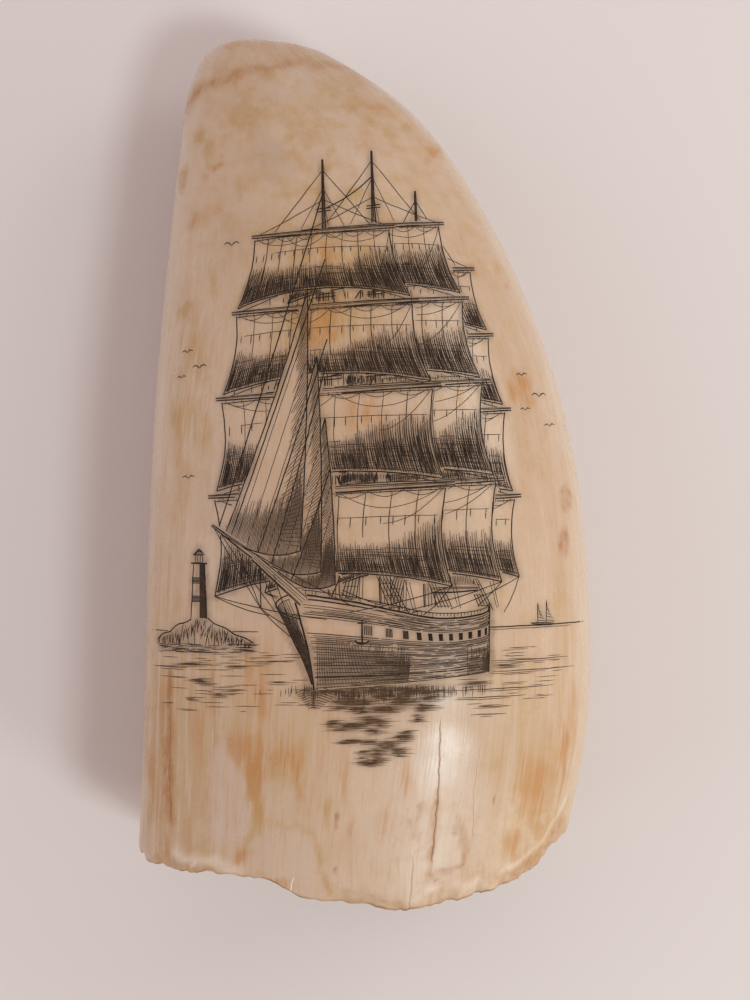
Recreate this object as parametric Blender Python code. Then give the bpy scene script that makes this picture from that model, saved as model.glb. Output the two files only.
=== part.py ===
"""Scrimshaw whale tooth: a sperm whale's tooth, lying on its side, with an open root and a blunt tip.

The tooth is one solid. It is a loft of oval sections, each of them spanning a left and a right outline
in plan, from the broken rim of the root (-Y) to the tip (+Y). The same loft turns in at the rim and
runs back up the pulp cavity. A small worn flat under the belly lies on Z = 0. The engraved face is +Z.
"""

import math

import bmesh
import bpy
from mathutils import Vector

MM = 0.001

# Outlines in plan, root to tip, in mm. Both end at the same point, the tip.
TIP = (-15.2, 68.1)
LEFT_OUTLINE = (
    (-35.9, -62.1),
    (-35.1, -42.5),
    (-34.5, -17.0),
    (-33.5, 8.0),
    (-31.7, 30.5),
    (-29.9, 48.5),
    (-28.1, 60.5),
    (-23.8, 67.1),
    TIP,
)
RIGHT_OUTLINE = (
    (32.3, -58.3),
    (35.5, -42.0),
    (35.8, -22.5),
    (33.7, -0.5),
    (28.4, 19.5),
    (19.7, 39.1),
    (8.6, 55.1),
    (-5.6, 65.4),
    TIP,
)

# Thickness of the tooth and lift of its underside off the table, in mm, against height along Y.
THICKNESS = (
    (-64.0, 43.2),
    (-40.0, 46.2),
    (-10.0, 45.2),
    (18.0, 40.4),
    (42.0, 32.4),
    (60.0, 24.4),
    (69.0, 20.0),
)
UNDERSIDE_LIFT = ((-64.0, 1.7), (-40.0, 0.15), (-12.0, 0.0), (18.0, 0.6), (42.0, 3.0), (69.0, 7.0))
FLAT_DEPTH = 0.35  # how deep the worn flat cuts into the belly
OVAL_POWER = 2.25  # 2 is a true ellipse; more is squarer in section
LEFT_BLUNTNESS = 0.15  # added to the power towards the left edge, and taken from it towards the right
TIP_ROUNDING = 0.30  # share of the outline, at the tip, over which the thickness rounds off

# The broken rim of the root: how far it runs past the first section, in mm, against the angle round
# the section in degrees. 0 is the right edge, 90 the engraved face, 180 the left edge, 270 the back.
RIM_REACH = (
    (0, 0.0),
    (22, 1.4),
    (33, 4.6),
    (52, 6.4),
    (78, 8.4),
    (90, 7.0),
    (100, 5.6),
    (110, 2.4),
    (134, 1.6),
    (152, 0.9),
    (168, -0.6),
    (180, -0.4),
    (205, 1.4),
    (235, 3.6),
    (262, 4.6),
    (285, 2.8),
    (315, 3.2),
    (338, 1.0),
    (360, 0.0),
)
RIM_RIPPLE = 0.25  # height of the small chips along the rim
RIM_FADE = 16.0  # the rim's reach dies away over this length up the tooth

# The pulp cavity: wall at the rim, depth along Y, and how fast it narrows.
RIM_WALL = 4.2
CAVITY_DEPTH = 56.0
CAVITY_TAPER = 1.12

SEGMENTS = 56
OUTER_RINGS = 36
CAVITY_RINGS = 12

IVORY = (0.62, 0.43, 0.28, 1.0)


def hermite(before, after, slope_before, slope_after, u):
    """Cubic between two values with these slopes, at u from 0 to 1."""
    rise = after - before
    return (
        before
        + slope_before * u
        + (3 * rise - 2 * slope_before - slope_after) * u**2
        + (slope_before + slope_after - 2 * rise) * u**3
    )


def smooth_table(table, at):
    """The value at a position on the smooth curve through a table of (position, value) rows."""
    last = len(table) - 1
    at = min(max(at, table[0][0]), table[-1][0])
    low = max(0, sum(row[0] < at for row in table) - 1)
    high = low + 1
    slopes = []
    for row in (low, high):
        before, after = table[max(row - 1, 0)], table[min(row + 1, last)]
        slopes.append((after[1] - before[1]) / (after[0] - before[0]))
    width = table[high][0] - table[low][0]
    u = (at - table[low][0]) / width
    return hermite(table[low][1], table[high][1], slopes[0] * width, slopes[1] * width, u)


def smooth_path(points, share):
    """A point of the smooth curve through these plan points, at a share from 0 to 1 of its spans."""
    at = share * (len(points) - 1)
    return Vector([smooth_table([(row, point[k]) for row, point in enumerate(points)], at) for k in (0, 1)])


def rim_reach(angle):
    """How far the rim runs past the first section at this angle, its ripple included."""
    ripple = math.sin(7 * angle + 0.6) + 0.7 * math.sin(13 * angle + 2.1) + 0.5 * math.sin(19 * angle)
    return smooth_table(RIM_REACH, math.degrees(angle) % 360) + RIM_RIPPLE * ripple


def oval(angle):
    """Unit superellipse point at this angle, blunter at the left edge than at the right."""
    across, up = math.cos(angle), math.sin(angle)
    power = 2 / (OVAL_POWER - LEFT_BLUNTNESS * across)
    return math.copysign(abs(across) ** power, across), math.copysign(abs(up) ** power, up)


def section(share):
    """The section at a share of the way from root to tip: its centre, half its chord, and half its
    thickness, in mm."""
    left = smooth_path(LEFT_OUTLINE, share).to_3d()
    right = smooth_path(RIGHT_OUTLINE, share).to_3d()
    centre = (left + right) / 2
    full = smooth_table(THICKNESS, centre.y)
    rounding = min(1.0, (1 - share) / TIP_ROUNDING)
    centre.z = full / 2 + smooth_table(UNDERSIDE_LIFT, centre.y) - FLAT_DEPTH
    return centre, (right - left) / 2, full / 2 * math.sin(rounding * math.pi / 2)


def outer_point(share, angle):
    """A point of the tooth's outer surface, in mm."""
    centre, half_chord, half_thickness = section(share)
    across, up = oval(angle)
    point = centre + half_chord * across + Vector((0, 0, half_thickness * up))
    from_root = centre.y - section(0)[0].y
    point.y -= rim_reach(angle) * max(0.0, 1 - from_root / RIM_FADE) ** 1.5
    return point


def share_at(height):
    """The share of the way from root to tip whose section's centre lies at this Y."""
    low, high = 0.0, 1.0
    for _ in range(30):
        middle = (low + high) / 2
        if section(middle)[0].y < height:
            low = middle
        else:
            high = middle
    return low


def cavity_point(depth_share, angle):
    """A point of the pulp cavity's wall, in mm: 0 is at the rim and 1 at the cavity's closed end."""
    mouth, mouth_half_chord, mouth_half_thickness = section(0)
    centre, half_chord, _ = section(share_at(mouth.y + depth_share * CAVITY_DEPTH))
    narrowing = 1 - depth_share**CAVITY_TAPER
    across, up = oval(angle)
    wide = (mouth_half_chord.length - RIM_WALL) * narrowing
    tall = (mouth_half_thickness - RIM_WALL) * narrowing
    point = centre + half_chord.normalized() * wide * across + Vector((0, 0, tall * up))
    point.y -= (rim_reach(angle) - 0.5) * (1 - depth_share) ** 6
    return point


def add_ring(mesh, point_of, share):
    angles = (2 * math.pi * k / SEGMENTS for k in range(SEGMENTS))
    return [mesh.verts.new(point_of(share, angle) * MM) for angle in angles]


def skin(mesh, ring, after):
    """Faces between two rings that follow each other."""
    for k in range(SEGMENTS):
        nxt = (k + 1) % SEGMENTS
        mesh.faces.new((ring[k], ring[nxt], after[nxt], after[k]))


def close_ring(mesh, ring, point):
    """A fan of triangles from a ring to a point."""
    end = mesh.verts.new(point * MM)
    for k in range(SEGMENTS):
        mesh.faces.new((ring[k], ring[(k + 1) % SEGMENTS], end))


def make_tooth_mesh():
    mesh = bmesh.new()
    inwards = (0.97 * (1 - k / CAVITY_RINGS) ** 0.8 for k in range(CAVITY_RINGS + 1))
    cavity = [add_ring(mesh, cavity_point, share) for share in inwards]
    upwards = (0.985 * (k / OUTER_RINGS) ** 0.95 for k in range(OUTER_RINGS + 1))
    outer = [add_ring(mesh, outer_point, share) for share in upwards]
    rings = cavity + outer
    for ring, after in zip(rings, rings[1:]):
        skin(mesh, ring, after)
    close_ring(mesh, cavity[0], cavity_point(1.0, 0.0))
    close_ring(mesh, outer[-1], outer_point(1.0, 0.0))
    bmesh.ops.recalc_face_normals(mesh, faces=mesh.faces)
    data = bpy.data.meshes.new("tooth")
    mesh.to_mesh(data)
    mesh.free()
    return data


def make_ivory():
    material = bpy.data.materials.new("ivory")
    material.use_nodes = True
    shader = material.node_tree.nodes["Principled BSDF"]
    shader.inputs["Base Color"].default_value = IVORY
    shader.inputs["Roughness"].default_value = 0.32
    shader.inputs["Metallic"].default_value = 0.0
    return material


def clear_scene():
    for obj in list(bpy.data.objects):
        bpy.data.objects.remove(obj, do_unlink=True)


def add_collection(name):
    collection = bpy.data.collections.new(name)
    bpy.context.scene.collection.children.link(collection)
    return collection


def add_table_cutter(collection):
    """A block whose top is the table, to cut the worn flat."""
    bpy.ops.mesh.primitive_cube_add(size=1, location=(0, 0, -0.01))
    block = bpy.context.object
    block.name = "table_cutter"
    block.scale = (0.2, 0.3, 0.02)
    bpy.ops.object.transform_apply(location=False, rotation=False, scale=True)
    for holder in list(block.users_collection):
        holder.objects.unlink(block)
    collection.objects.link(block)
    block.hide_render = True
    block.display_type = "WIRE"
    return block


def add_tooth(collection, cutter):
    tooth = bpy.data.objects.new("tooth", make_tooth_mesh())
    collection.objects.link(tooth)
    tooth.data.materials.append(make_ivory())
    tooth.data.shade_smooth()
    tooth.data.set_sharp_from_angle(angle=math.radians(40))
    flat = tooth.modifiers.new("worn_flat", "BOOLEAN")
    flat.operation = "DIFFERENCE"
    flat.object = cutter
    return tooth


def main():
    clear_scene()
    cutters = add_collection("cutters")
    whale_tooth = add_collection("scrimshaw_whale_tooth")
    add_tooth(whale_tooth, add_table_cutter(cutters))


main()
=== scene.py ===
"""Scrimshaw whale tooth: the polished and broken ivory, the engraved ship at sea, and the stage.

Places and sizes are in millimetres on the tooth, from the origin under its middle: X across, Y from the
broken root to the tip, Z up out of the engraved face. The frame's own length turns them into metres.
"""

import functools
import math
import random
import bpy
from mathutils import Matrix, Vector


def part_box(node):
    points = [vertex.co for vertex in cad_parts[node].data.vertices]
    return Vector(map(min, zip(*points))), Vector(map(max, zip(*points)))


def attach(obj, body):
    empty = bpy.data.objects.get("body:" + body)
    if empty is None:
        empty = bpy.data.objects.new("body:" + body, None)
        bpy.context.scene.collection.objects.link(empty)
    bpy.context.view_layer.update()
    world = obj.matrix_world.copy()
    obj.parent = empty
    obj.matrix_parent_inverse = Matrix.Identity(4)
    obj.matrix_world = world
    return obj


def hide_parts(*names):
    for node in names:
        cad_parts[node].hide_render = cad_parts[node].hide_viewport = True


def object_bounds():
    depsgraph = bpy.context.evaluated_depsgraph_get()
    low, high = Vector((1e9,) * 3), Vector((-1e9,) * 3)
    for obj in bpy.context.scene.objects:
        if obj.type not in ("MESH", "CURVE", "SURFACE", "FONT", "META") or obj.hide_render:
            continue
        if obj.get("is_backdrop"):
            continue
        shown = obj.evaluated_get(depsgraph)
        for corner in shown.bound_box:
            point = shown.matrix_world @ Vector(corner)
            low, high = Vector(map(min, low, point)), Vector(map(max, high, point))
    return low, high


bl_info = {
    "name": "Scrimshaw Whale Tooth",
    "version": (1, 0, 0),
    "blender": (4, 5, 0),
    "location": "View3D > Sidebar > Scrimshaw",
    "description": "A polished whale tooth with a ship under sail engraved and inked on its face",
    "category": "Object",
}

from collections import namedtuple

import bpy
import numpy as np
from bpy.props import FloatProperty, FloatVectorProperty, IntProperty, PointerProperty
from bpy.types import Operator, Panel, PropertyGroup
from mathutils import Vector

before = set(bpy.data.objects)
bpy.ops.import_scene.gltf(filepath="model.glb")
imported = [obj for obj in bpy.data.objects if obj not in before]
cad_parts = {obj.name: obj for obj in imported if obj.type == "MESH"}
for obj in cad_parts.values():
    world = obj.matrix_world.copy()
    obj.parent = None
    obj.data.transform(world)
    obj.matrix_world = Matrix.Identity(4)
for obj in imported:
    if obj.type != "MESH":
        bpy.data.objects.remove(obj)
cad_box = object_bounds()
LOW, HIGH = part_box("tooth")
MM = (HIGH.y - LOW.y) / 136.2  # one millimetre of the tooth, in metres of the frame


# ---------------------------------------------------------------- the tooth's form

TIP = (-15.2, 68.1)
LEFT_OUTLINE = (
    (-35.9, -62.1), (-35.1, -42.5), (-34.5, -17), (-33.5, 8), (-31.7, 30.5), (-29.9, 48.5), (-28.1, 60.5),
    (-23.8, 67.1), TIP,
)
RIGHT_OUTLINE = (
    (32.3, -58.3), (35.5, -42), (35.8, -22.5), (33.7, -0.5), (28.4, 19.5), (19.7, 39.1), (8.6, 55.1),
    (-5.6, 65.4), TIP,
)
# Thickness and the underside's lift off the floor, each by Y.
THICKNESS = (
    (-64, 43.2), (-40, 46.2), (-10, 45.2), (18, 40.4), (42, 32.4), (60, 24.4), (69, 20),
)
UNDERSIDE_LIFT = (
    (-64, 1.7), (-40, 0.15), (-12, 0), (18, 0.6), (42, 3), (69, 7),
)
FLAT_DEPTH = 0.35  # how deep the underside is worn flat
OVAL_POWER, LEFT_BLUNTNESS = 2.25, 0.15  # 2 is an ellipse, and the left side is blunter
TIP_ROUNDING = 0.3  # the share of the tooth over which its thickness rounds off

# The rim's reach past the first section by degrees round the section, from its right edge over the face.
RIM_REACH = (
    (0, 0), (22, 1.4), (33, 4.6), (52, 6.4), (78, 8.4), (90, 7), (100, 5.6), (110, 2.4), (134, 1.6),
    (152, 0.9), (168, -0.6), (180, -0.4), (205, 1.4), (235, 3.6), (262, 4.6), (285, 2.8), (315, 3.2),
    (338, 1), (360, 0),
)
RIM_RIPPLE = 0.13
RIM_FADE = 16.0  # how far from the rim its unevenness is felt
# Width of the broken bevel outside the rim, by degrees round the section.
RIM_BEVEL = (
    (0, 0.5), (22, 1.2), (30, 2.1), (46, 1.7), (53, 0.3), (59, 1.3), (72, 1.5), (77, 0.4), (82, 1),
    (93, 1.1), (98, 0.3), (122, 0.25), (131, 1.2), (150, 1.5), (158, 0.4), (180, 0.8), (215, 1.8),
    (250, 0.5), (290, 1.6), (330, 0.7), (360, 0.5),
)
BEVEL_SLOPE = 0.42
LIP_DARKENING, LIP_UNEVENNESS = 0.42, 0.28  # how much darker the rim's outer edge is made, and how unevenly
# Chips knocked out of the rim: degrees round the section, half width in degrees, depth in mm.
CHIPS = (
    (24, 2, 0.3), (38, 3, 0.15), (48.5, 1.5, 0.2), (57.5, 1.2, 0.35), (66, 2.2, 0.15), (79.5, 0.9, 0.35),
    (87, 1.6, 0.2), (97.5, 1, 0.2), (106, 2.5, 0.15), (127.5, 2.4, 0.3), (149.5, 1.8, 0.6), (163, 3, 0.5),
    (196, 4, 0.7), (221, 3, 0.5), (243, 2.5, 0.6), (276, 4, 0.55), (301, 2.2, 0.7), (327, 3.4, 0.5),
    (347, 2, 0.5),
)
RIM_WALL = 4.2
CAVITY_DEPTH = 56.0
CAVITY_TAPER = 1.12
CAVITY_CROWDING = 1.3  # above 1, the cavity's rings lie closer at the rim

COLUMNS = 420
OUTER_RINGS = 196
RIM_RINGS = 9
CAVITY_RINGS = 12
TOP_CROWDING = 0.3  # how much closer the columns lie on the engraved face than on average
# How much closer the rings lie at the rim and near the root, and over how many mm from the rim.
RIM_CROWDING, RIM_CROWDING_RUN = 1.6, 2.5
ROOT_CROWDING, ROOT_CROWDING_ENDS = 0.8, (34, 22)

# Drying cracks: the path on the engraved face from the tip end to the root end, the depth in mm, how dark
# the dirt is (below 0 for a nick that bares clean ivory), and how many columns on each side bend to follow
# it.
CRACKS = (
    (((11.5, -38), (11.4, -43.1), (11.3, -46.9), (11.2, -50.2), (10.8, -55), (10.1, -62.4)), 0.12, 1, 5),
    (((17.9, -41.5), (17.2, -46.5), (16.6, -50.6), (16.5, -59.5)), 0.02, 0.5, 6),
    (((7.5, -58.5), (7.2, -63.6), (6.6, -70)), 0.06, 0.6, 5),
    (((-30.1, -32), (-29.8, -41.6), (-30, -47.8), (-29.6, -55.5)), 0.05, 0.75, 8),
    (((-22.8, -28), (-22.8, -36.6), (-22.7, -47)), 0.03, 0.4, 7),
    (((-9.6, -36), (-9.4, -42), (-9.3, -51)), 0.02, 0.35, 7),
    (((-10.5, -61.8), (-11.1, -65), (-11.7, -69.5)), 0.1, -3, 5),
)
CRACK_HALF_WIDTH = 0.13  # at its root end
CRACK_START = 0.6  # how wide it is at its tip end, as a share of that
LEFT_BOUNCE_LIGHT_REACH = 0.28  # how much further up the left side the painted bounce light on the edge reaches

# Stains on the face: centre X and Y, half width, half length, and strength.
ORANGE_STAINS = (
    (2.3, 55.5, 3, 0.9, 0.5), (11.1, 49.8, 0.8, 1.2, 0.7), (-26.6, 58.5, 1.1, 1.3, 0.55),
    (-21.2, 60.2, 2.2, 0.5, 0.42), (-23.2, 46.1, 0.8, 0.6, 0.77), (-25.3, 45, 0.6, 0.6, 0.42),
    (-22.6, 39.7, 0.6, 0.8, 0.45), (-26.6, 37.1, 0.5, 1.2, 0.64), (-24, 38, 0.9, 1.6, 0.27),
    (10.5, 47.9, 0.5, 0.6, 0.55), (6.7, 52.2, 0.9, 0.9, 0.42), (16.5, 29.1, 0.5, 0.6, 0.68),
    (20.7, 30.6, 0.6, 0.8, 0.45), (22.7, 27.2, 0.3, 0.6, 0.59), (15.7, 33.6, 0.6, 0.9, 0.36),
    (24.1, 11.3, 1.2, 2, 0.8), (25.5, 8.9, 0.8, 0.9, 0.56), (-27, 22.6, 1.5, 5.5, 0.27),
    (-25.9, 10.9, 2.1, 6.5, 0.23), (-27.9, -2, 1.7, 6.5, 0.18), (-6, 32, 2, 2, 0.55),
    (-6.4, 21.1, 2.6, 3, 0.78), (-0.2, 6.1, 3, 2.2, 0.48), (26, 10, 5, 24, 0.16), (31.5, -4, 1.6, 12, 0.28),
    (32.2, -37.3, 0.8, 9.3, 0.36), (28.5, -42.3, 0.9, 4, 0.36), (30.7, -45.2, 0.5, 4.6, 0.68),
    (26.3, -49.9, 2, 3.4, 0.8), (22.5, -59.4, 1, 1.7, 0.85), (27.5, -62, 4.5, 2, 0.45),
    (6.6, -48.2, 1.1, 2.3, 0.5), (3.6, -54.6, 1.8, 2.1, 0.3), (13.7, -63.4, 4.5, 0.8, 0.3),
    (-2.9, -58.1, 2.7, 3.3, 0.3), (-2.8, -49.8, 0.9, 4.2, 0.35), (-5.7, -36.3, 0.7, 4.5, 0.35),
    (-18.3, -44, 2.6, 2.3, 0.8), (-16.3, -47.9, 1.2, 2.7, 1), (-16, -51.5, 0.7, 2.1, 0.75),
    (-12.5, -44.9, 2.1, 2, 0.6), (-9.8, -47.7, 0.6, 3.3, 0.75), (-16, -33.4, 1.6, 5.5, 0.7),
    (-25.3, -41.4, 0.8, 4.3, 0.55), (-32.8, -50.3, 0.8, 4, 0.6), (-30, -52.3, 0.5, 2.8, 1),
    (-30, -44, 0.4, 8, 0.75), (-31.2, -37.1, 1.2, 3.4, 0.45), (-18.6, -60.7, 0.9, 0.8, 1),
    (-13.3, -63.7, 2, 0.7, 0.7),
)
OCHRE_STAINS = (
    (-5.2, 59.3, 1.3, 0.7, 0.6), (-5.8, 50.3, 1.6, 1, 0.5), (-10.7, 52.8, 2.2, 1.2, 0.5),
    (-27, -46, 7.5, 20, 0.9), (-28, -58, 6, 4, 0.8), (-31, -20, 3, 20, 0.45), (26.5, -50, 5.5, 12, 0.6),
    (-13, -47, 7, 8, 0.55), (-26.5, 5, 3.6, 30, 0.5), (-25.3, 37, 1.2, 1.4, 0.7),
    (-22.3, 32.5, 1.4, 2.5, 0.5), (-23.8, 27.5, 0.9, 1.6, 0.6), (-27.8, 23, 0.9, 1.6, 0.95),
    (-25.6, 16.5, 1.4, 2.5, 0.9), (-25.5, 12.5, 1.6, 2.2, 0.8), (-27.5, 6, 1.6, 3.2, 1),
    (-24.8, 3, 1.5, 3, 0.9), (-25.7, 50.8, 0.8, 1.6, 1), (-24.7, 48.6, 0.9, 2.2, 0.66),
    (-28.7, 44.1, 0.5, 1.9, 1), (-19.3, 41.3, 0.5, 1.5, 0.59), (-21.1, 54.5, 0.6, 0.9, 0.66),
    (-14.6, 56.4, 0.6, 0.9, 0.59), (-11.4, 50.6, 0.9, 0.5, 1), (-8, 51.9, 1.9, 0.3, 0.74),
    (-5.1, 57.9, 0.8, 0.6, 0.91), (-5, 48.8, 0.6, 0.8, 0.91), (-5.5, 45.3, 0.9, 0.9, 0.99),
    (-2.1, 55.1, 1.4, 0.5, 0.82), (2.4, 54.5, 0.9, 0.5, 0.74), (1.6, 52.6, 1.3, 0.5, 0.66),
    (-1.4, 60.5, 0.8, 0.4, 0.66), (6.2, 52.1, 1.1, 0.6, 0.74), (-1, 41, 0.9, 1.2, 0.82),
    (-12.5, 46.7, 0.9, 1.2, 0.51), (13.8, 19.1, 0.8, 0.6, 0.6), (12.6, 14.1, 0.6, 0.8, 0.4),
    (14, 9.1, 0.6, 1.1, 0.6), (-10.1, 54.5, 4.7, 2.2, 0.41), (8.7, 48.8, 2.2, 1.3, 0.41),
    (-4, 26, 9, 10, 0.66), (20.6, -35, 2.7, 4.5, 0.3), (23.7, -36.7, 1.2, 6.1, 0.35),
    (30.1, -27.8, 1.7, 10, 0.4), (2.4, -61.9, 1.5, 2.7, 0.3), (-5.1, -45.3, 1.5, 3, 0.35),
    (-5.7, -54, 0.5, 3, 0.7), (-8.6, -53.2, 0.6, 1.5, 0.45), (-11.4, -46.1, 2.4, 1.8, 0.55),
    (-16, -53.8, 0.9, 2.1, 0.8), (-21, -27.5, 2.3, 3.5, 0.35), (-26.4, -49.4, 2.3, 4.3, 0.65),
    (-26.5, -57.8, 2, 0.8, 0.65), (-30.3, -60.8, 0.9, 2, 0.95), (-23.1, -59.8, 0.6, 0.6, 0.75),
    (-33.4, -28.1, 1.2, 12.5, 0.5), (-28.5, -35.3, 1.8, 8, 0.5), (-30.5, -47, 3.5, 14, 0.45),
    (-31.3, -63.2, 0.9, 2.6, 1),
)
# Along the left edge these rows paint bounce light on that side, and those at (-26.5, -61.6) and (13.7,
# -65.2) paint the sheen on the rim's pale lip; the rest are pale stains.
PALE_STAINS_AND_PAINTED_LIGHT = (
    (-33, 6.3, 1.2, 24, 0.85), (-30, 39, 1.5, 17, 0.8), (2.5, -55, 8.5, 11, 0.95),
    (-33.7, -27, 1.2, 12, 0.6), (-22.6, -21.5, 2.3, 8, 0.7), (-24.2, -14.2, 2.6, 7.5, 0.6),
    (10, 12, 5, 14, 0.45), (30.7, 4.7, 1.3, 10, 0.4), (-21.8, -36.6, 1.2, 4.5, 0.6),
    (-27.2, -42.1, 0.9, 5.3, 0.5), (-0.6, -42.3, 2.1, 3, 0.35), (12.6, -46.9, 1.4, 6.8, 0.55),
    (9.2, -58.9, 1.5, 4.5, 0.4), (17.5, -51.6, 2, 9.1, 0.55), (20.1, -36.5, 4.2, 6, 0.6),
    (13.7, -65.2, 3.9, 0.8, 0.85), (32.6, -53.4, 0.6, 4.7, 0.55), (25.4, -60, 1.5, 1.2, 0.5),
    (-26.5, -61.6, 3, 0.9, 0.8), (-24.5, 50.5, 4, 7, 0.35), (-9, 60, 9, 4, 0.35), (10, 42, 8, 12, 0.3),
    (-10.9, -62, 4.5, 5, 0.9), (-12.5, -51.5, 2.5, 3, 0.9),
)
GREY_STAINS = (
    (-15.4, 48.1, 2.8, 6.5, 0.45), (-21.5, 33.9, 3.6, 7, 0.3), (-10.1, 57.9, 6.5, 2.4, 0.25),
    (-24.1, -6.3, 2.7, 10, 0.4), (-28.5, -56, 1.3, 5, 0.35), (-34.6, -60, 1.5, 3, 0.6),
)
SPOTS = (
    (31.4, -5.9, 0.84, 1.69, 0.91), (30.9, -13, 0.7, 1.95, 1), (13.8, -56.2, 0.56, 0.65, 1),
    (14.8, -57.9, 0.42, 1.56, 0.78), (15.1, -60.4, 0.42, 1.17, 0.65), (8.1, -52.3, 0.28, 0.52, 0.91),
    (6.8, -54.7, 0.42, 0.65, 0.65), (8, -56.9, 0.28, 1.04, 0.78), (8.4, -59.3, 0.42, 0.65, 0.65),
    (11.6, -62.1, 0.7, 0.39, 1), (13.3, -61.8, 0.84, 0.26, 0.78), (11, -63.6, 1.12, 0.26, 0.78),
    (8.3, -64.2, 0.42, 0.39, 0.65), (9, -53.8, 0.28, 0.78, 0.65), (-4.1, -54, 0.28, 0.52, 1),
    (-4.2, -55.4, 0.28, 0.39, 0.91), (-4.2, -62, 0.28, 0.65, 0.91), (-2.3, -56, 0.28, 1.17, 0.65),
    (19.7, -51.7, 0.15, 0.7, 1),
)
# Brown and yellow stained lines, and pale lines of painted highlight: their path, half width and strength.
BROWN_LINES = (
    (
        ((-28.3, 56.2), (-26.6, 58.6), (-22.2, 60.3), (-15.8, 61.8), (-9.7, 62.9), (-5.8, 63), (2, 62)),
        0.95,
        0.72,
    ),
    (((-9.3, 54.5), (-5.4, 55.3), (-2.3, 55.2), (1.8, 52.6)), 0.6, 0.35),
    (((21.5, -64.6), (25, -62.4), (28.3, -59.9), (30.8, -56.8)), 1.3, 0.75),
    (((-30.1, -33), (-29.8, -41.6), (-30, -47.8), (-29.6, -55.5)), 0.5, 1.3),
    (((-31, -38), (-30.9, -44), (-30.8, -54), (-29.6, -56)), 0.35, 1),
    (((-22.8, -26), (-22.8, -36.6), (-22.7, -44)), 0.35, 0.8),
    (((10.9, -50), (10.6, -56), (9.9, -62.8)), 0.5, 1.1),
    (((14, -54.7), (14.9, -57), (15.5, -59.6), (15.3, -61.5)), 0.4, 1),
    (((15.3, -61.5), (13.2, -62.5), (10.6, -62.8), (9, -63.6)), 0.35, 0.9),
    (((8.8, -52), (7.9, -54.6), (7.7, -57)), 0.4, 0.65),
    (((8.4, -67.3), (13, -67.1), (18.2, -66.4)), 0.4, 0.5),
    (((-6.9, -66.3), (-2.1, -66.8), (2.4, -66.9), (6.2, -67.7)), 0.3, 0.5),
)
# Painted highlights: the gleaming ridges along the rim's lip and facet, and the glint on a chip at the lower
# left.
RIM_HIGHLIGHT_LINES = (
    (((20.6, -63.3), (23.5, -61.7), (27, -59), (29.5, -56), (31.5, -52.8)), 0.32, 1),
    (((9.6, -65.2), (13.5, -65), (17.5, -64.2)), 0.35, 0.9),
    (((-28.5, -60.7), (-26, -61.1), (-22, -61.6), (-19.5, -62.1)), 1, 1.2),
    (((-26.1, -62), (-25.8, -61.9)), 0.36, 3),
)
YELLOW_LINES = (
    (((-16.1, -54.8), (-14.9, -54.8), (-12.6, -55.2), (-10.2, -55.4), (-8.7, -56)), 0.35, 0.6),
    (((-8.7, -56), (-7.5, -57.2), (-6.8, -58.9), (-6.3, -60.5), (-6.6, -62.1), (-5.1, -65.4)), 0.45, 0.9),
    (((-15.4, -50.7), (-15.8, -53.3), (-16.3, -55.8), (-17.2, -57.6), (-18.7, -58.9)), 0.5, 0.7),
    (((-16.6, -48.5), (-16.2, -50.3), (-16.1, -54)), 0.4, 0.8),
)
# Where the mottling of the tip starts and is full along Y, and the smeared corner's ends along X and Y.
TIP_LOOK_ENDS = (18, 52)
SMEARED_ENDS = ((-2, 4), (-46, -54))
SPOT_WANDER = 0.1  # how far slow waves push a spot's outline, in mm
# Pale patches, as closed outlines: X, Y, and the softness of the edge there in mm.
PALE_PATCHES = (
    (
        (-21.5, -41.5, 0.9), (-20.9, -43.3, 0.5), (-20.3, -45, 0.3), (-18.4, -48.2, 0.25),
        (-17.3, -50.3, 0.25), (-16.9, -52.3, 0.25), (-16.9, -54.7, 0.3), (-17.4, -56.7, 0.5),
        (-18.6, -58, 0.8), (-20.4, -58.6, 1), (-23.2, -58.3, 1.2), (-23.9, -56.3, 1.2), (-23.7, -49.7, 0.8),
        (-23.4, -46.6, 0.7), (-22.6, -44.2, 0.7),
    ),
    (
        (-15.1, -49.4, 0.4), (-13.7, -48.3, 0.6), (-11.7, -48.5, 0.6), (-10.5, -49.7, 0.6),
        (-10.1, -51.7, 0.5), (-10.5, -53.8, 0.6), (-12.6, -54.4, 0.5), (-14.8, -54.2, 0.4),
        (-15.4, -52.4, 0.4),
    ),
    (
        (-16, -56.3, 0.6), (-14.8, -55.9, 0.3), (-12.5, -55.6, 0.25), (-10.2, -55.9, 0.25),
        (-8.6, -56.9, 0.25), (-7.4, -58.7, 0.3), (-6.9, -60.7, 0.3), (-6.5, -63.1, 0.3), (-5.4, -65.7, 0.3),
        (-5.7, -69.8, 0.6), (-15.4, -69.8, 1), (-16.3, -64.4, 1.2), (-16.8, -60.6, 1.2), (-16.6, -58, 0.8),
    ),
)


def smooth_table(table, at):
    """Values on the smooth curve through a table of (position, value) rows, at an array of positions."""
    places, values = np.array(table, float).T
    slopes = np.empty(len(places))
    slopes[1:-1] = (values[2:] - values[:-2]) / (places[2:] - places[:-2])
    slopes[0] = (values[1] - values[0]) / (places[1] - places[0])
    slopes[-1] = (values[-1] - values[-2]) / (places[-1] - places[-2])
    at = np.clip(at, places[0], places[-1])
    low = np.clip(np.searchsorted(places, at) - 1, 0, len(places) - 2)
    width = places[low + 1] - places[low]
    u = (at - places[low]) / width
    rise = values[low + 1] - values[low]
    before, after = slopes[low] * width, slopes[low + 1] * width
    bend, twist = 3 * rise - 2 * before - after, before + after - 2 * rise
    return values[low] + before * u + bend * u**2 + twist * u**3


def smooth_step(low, high, at):
    """0 before low, 1 past high, and a smooth rise between."""
    u = np.clip((at - low) / (high - low), 0.0, 1.0)
    return u * u * (3 - 2 * u)


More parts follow.
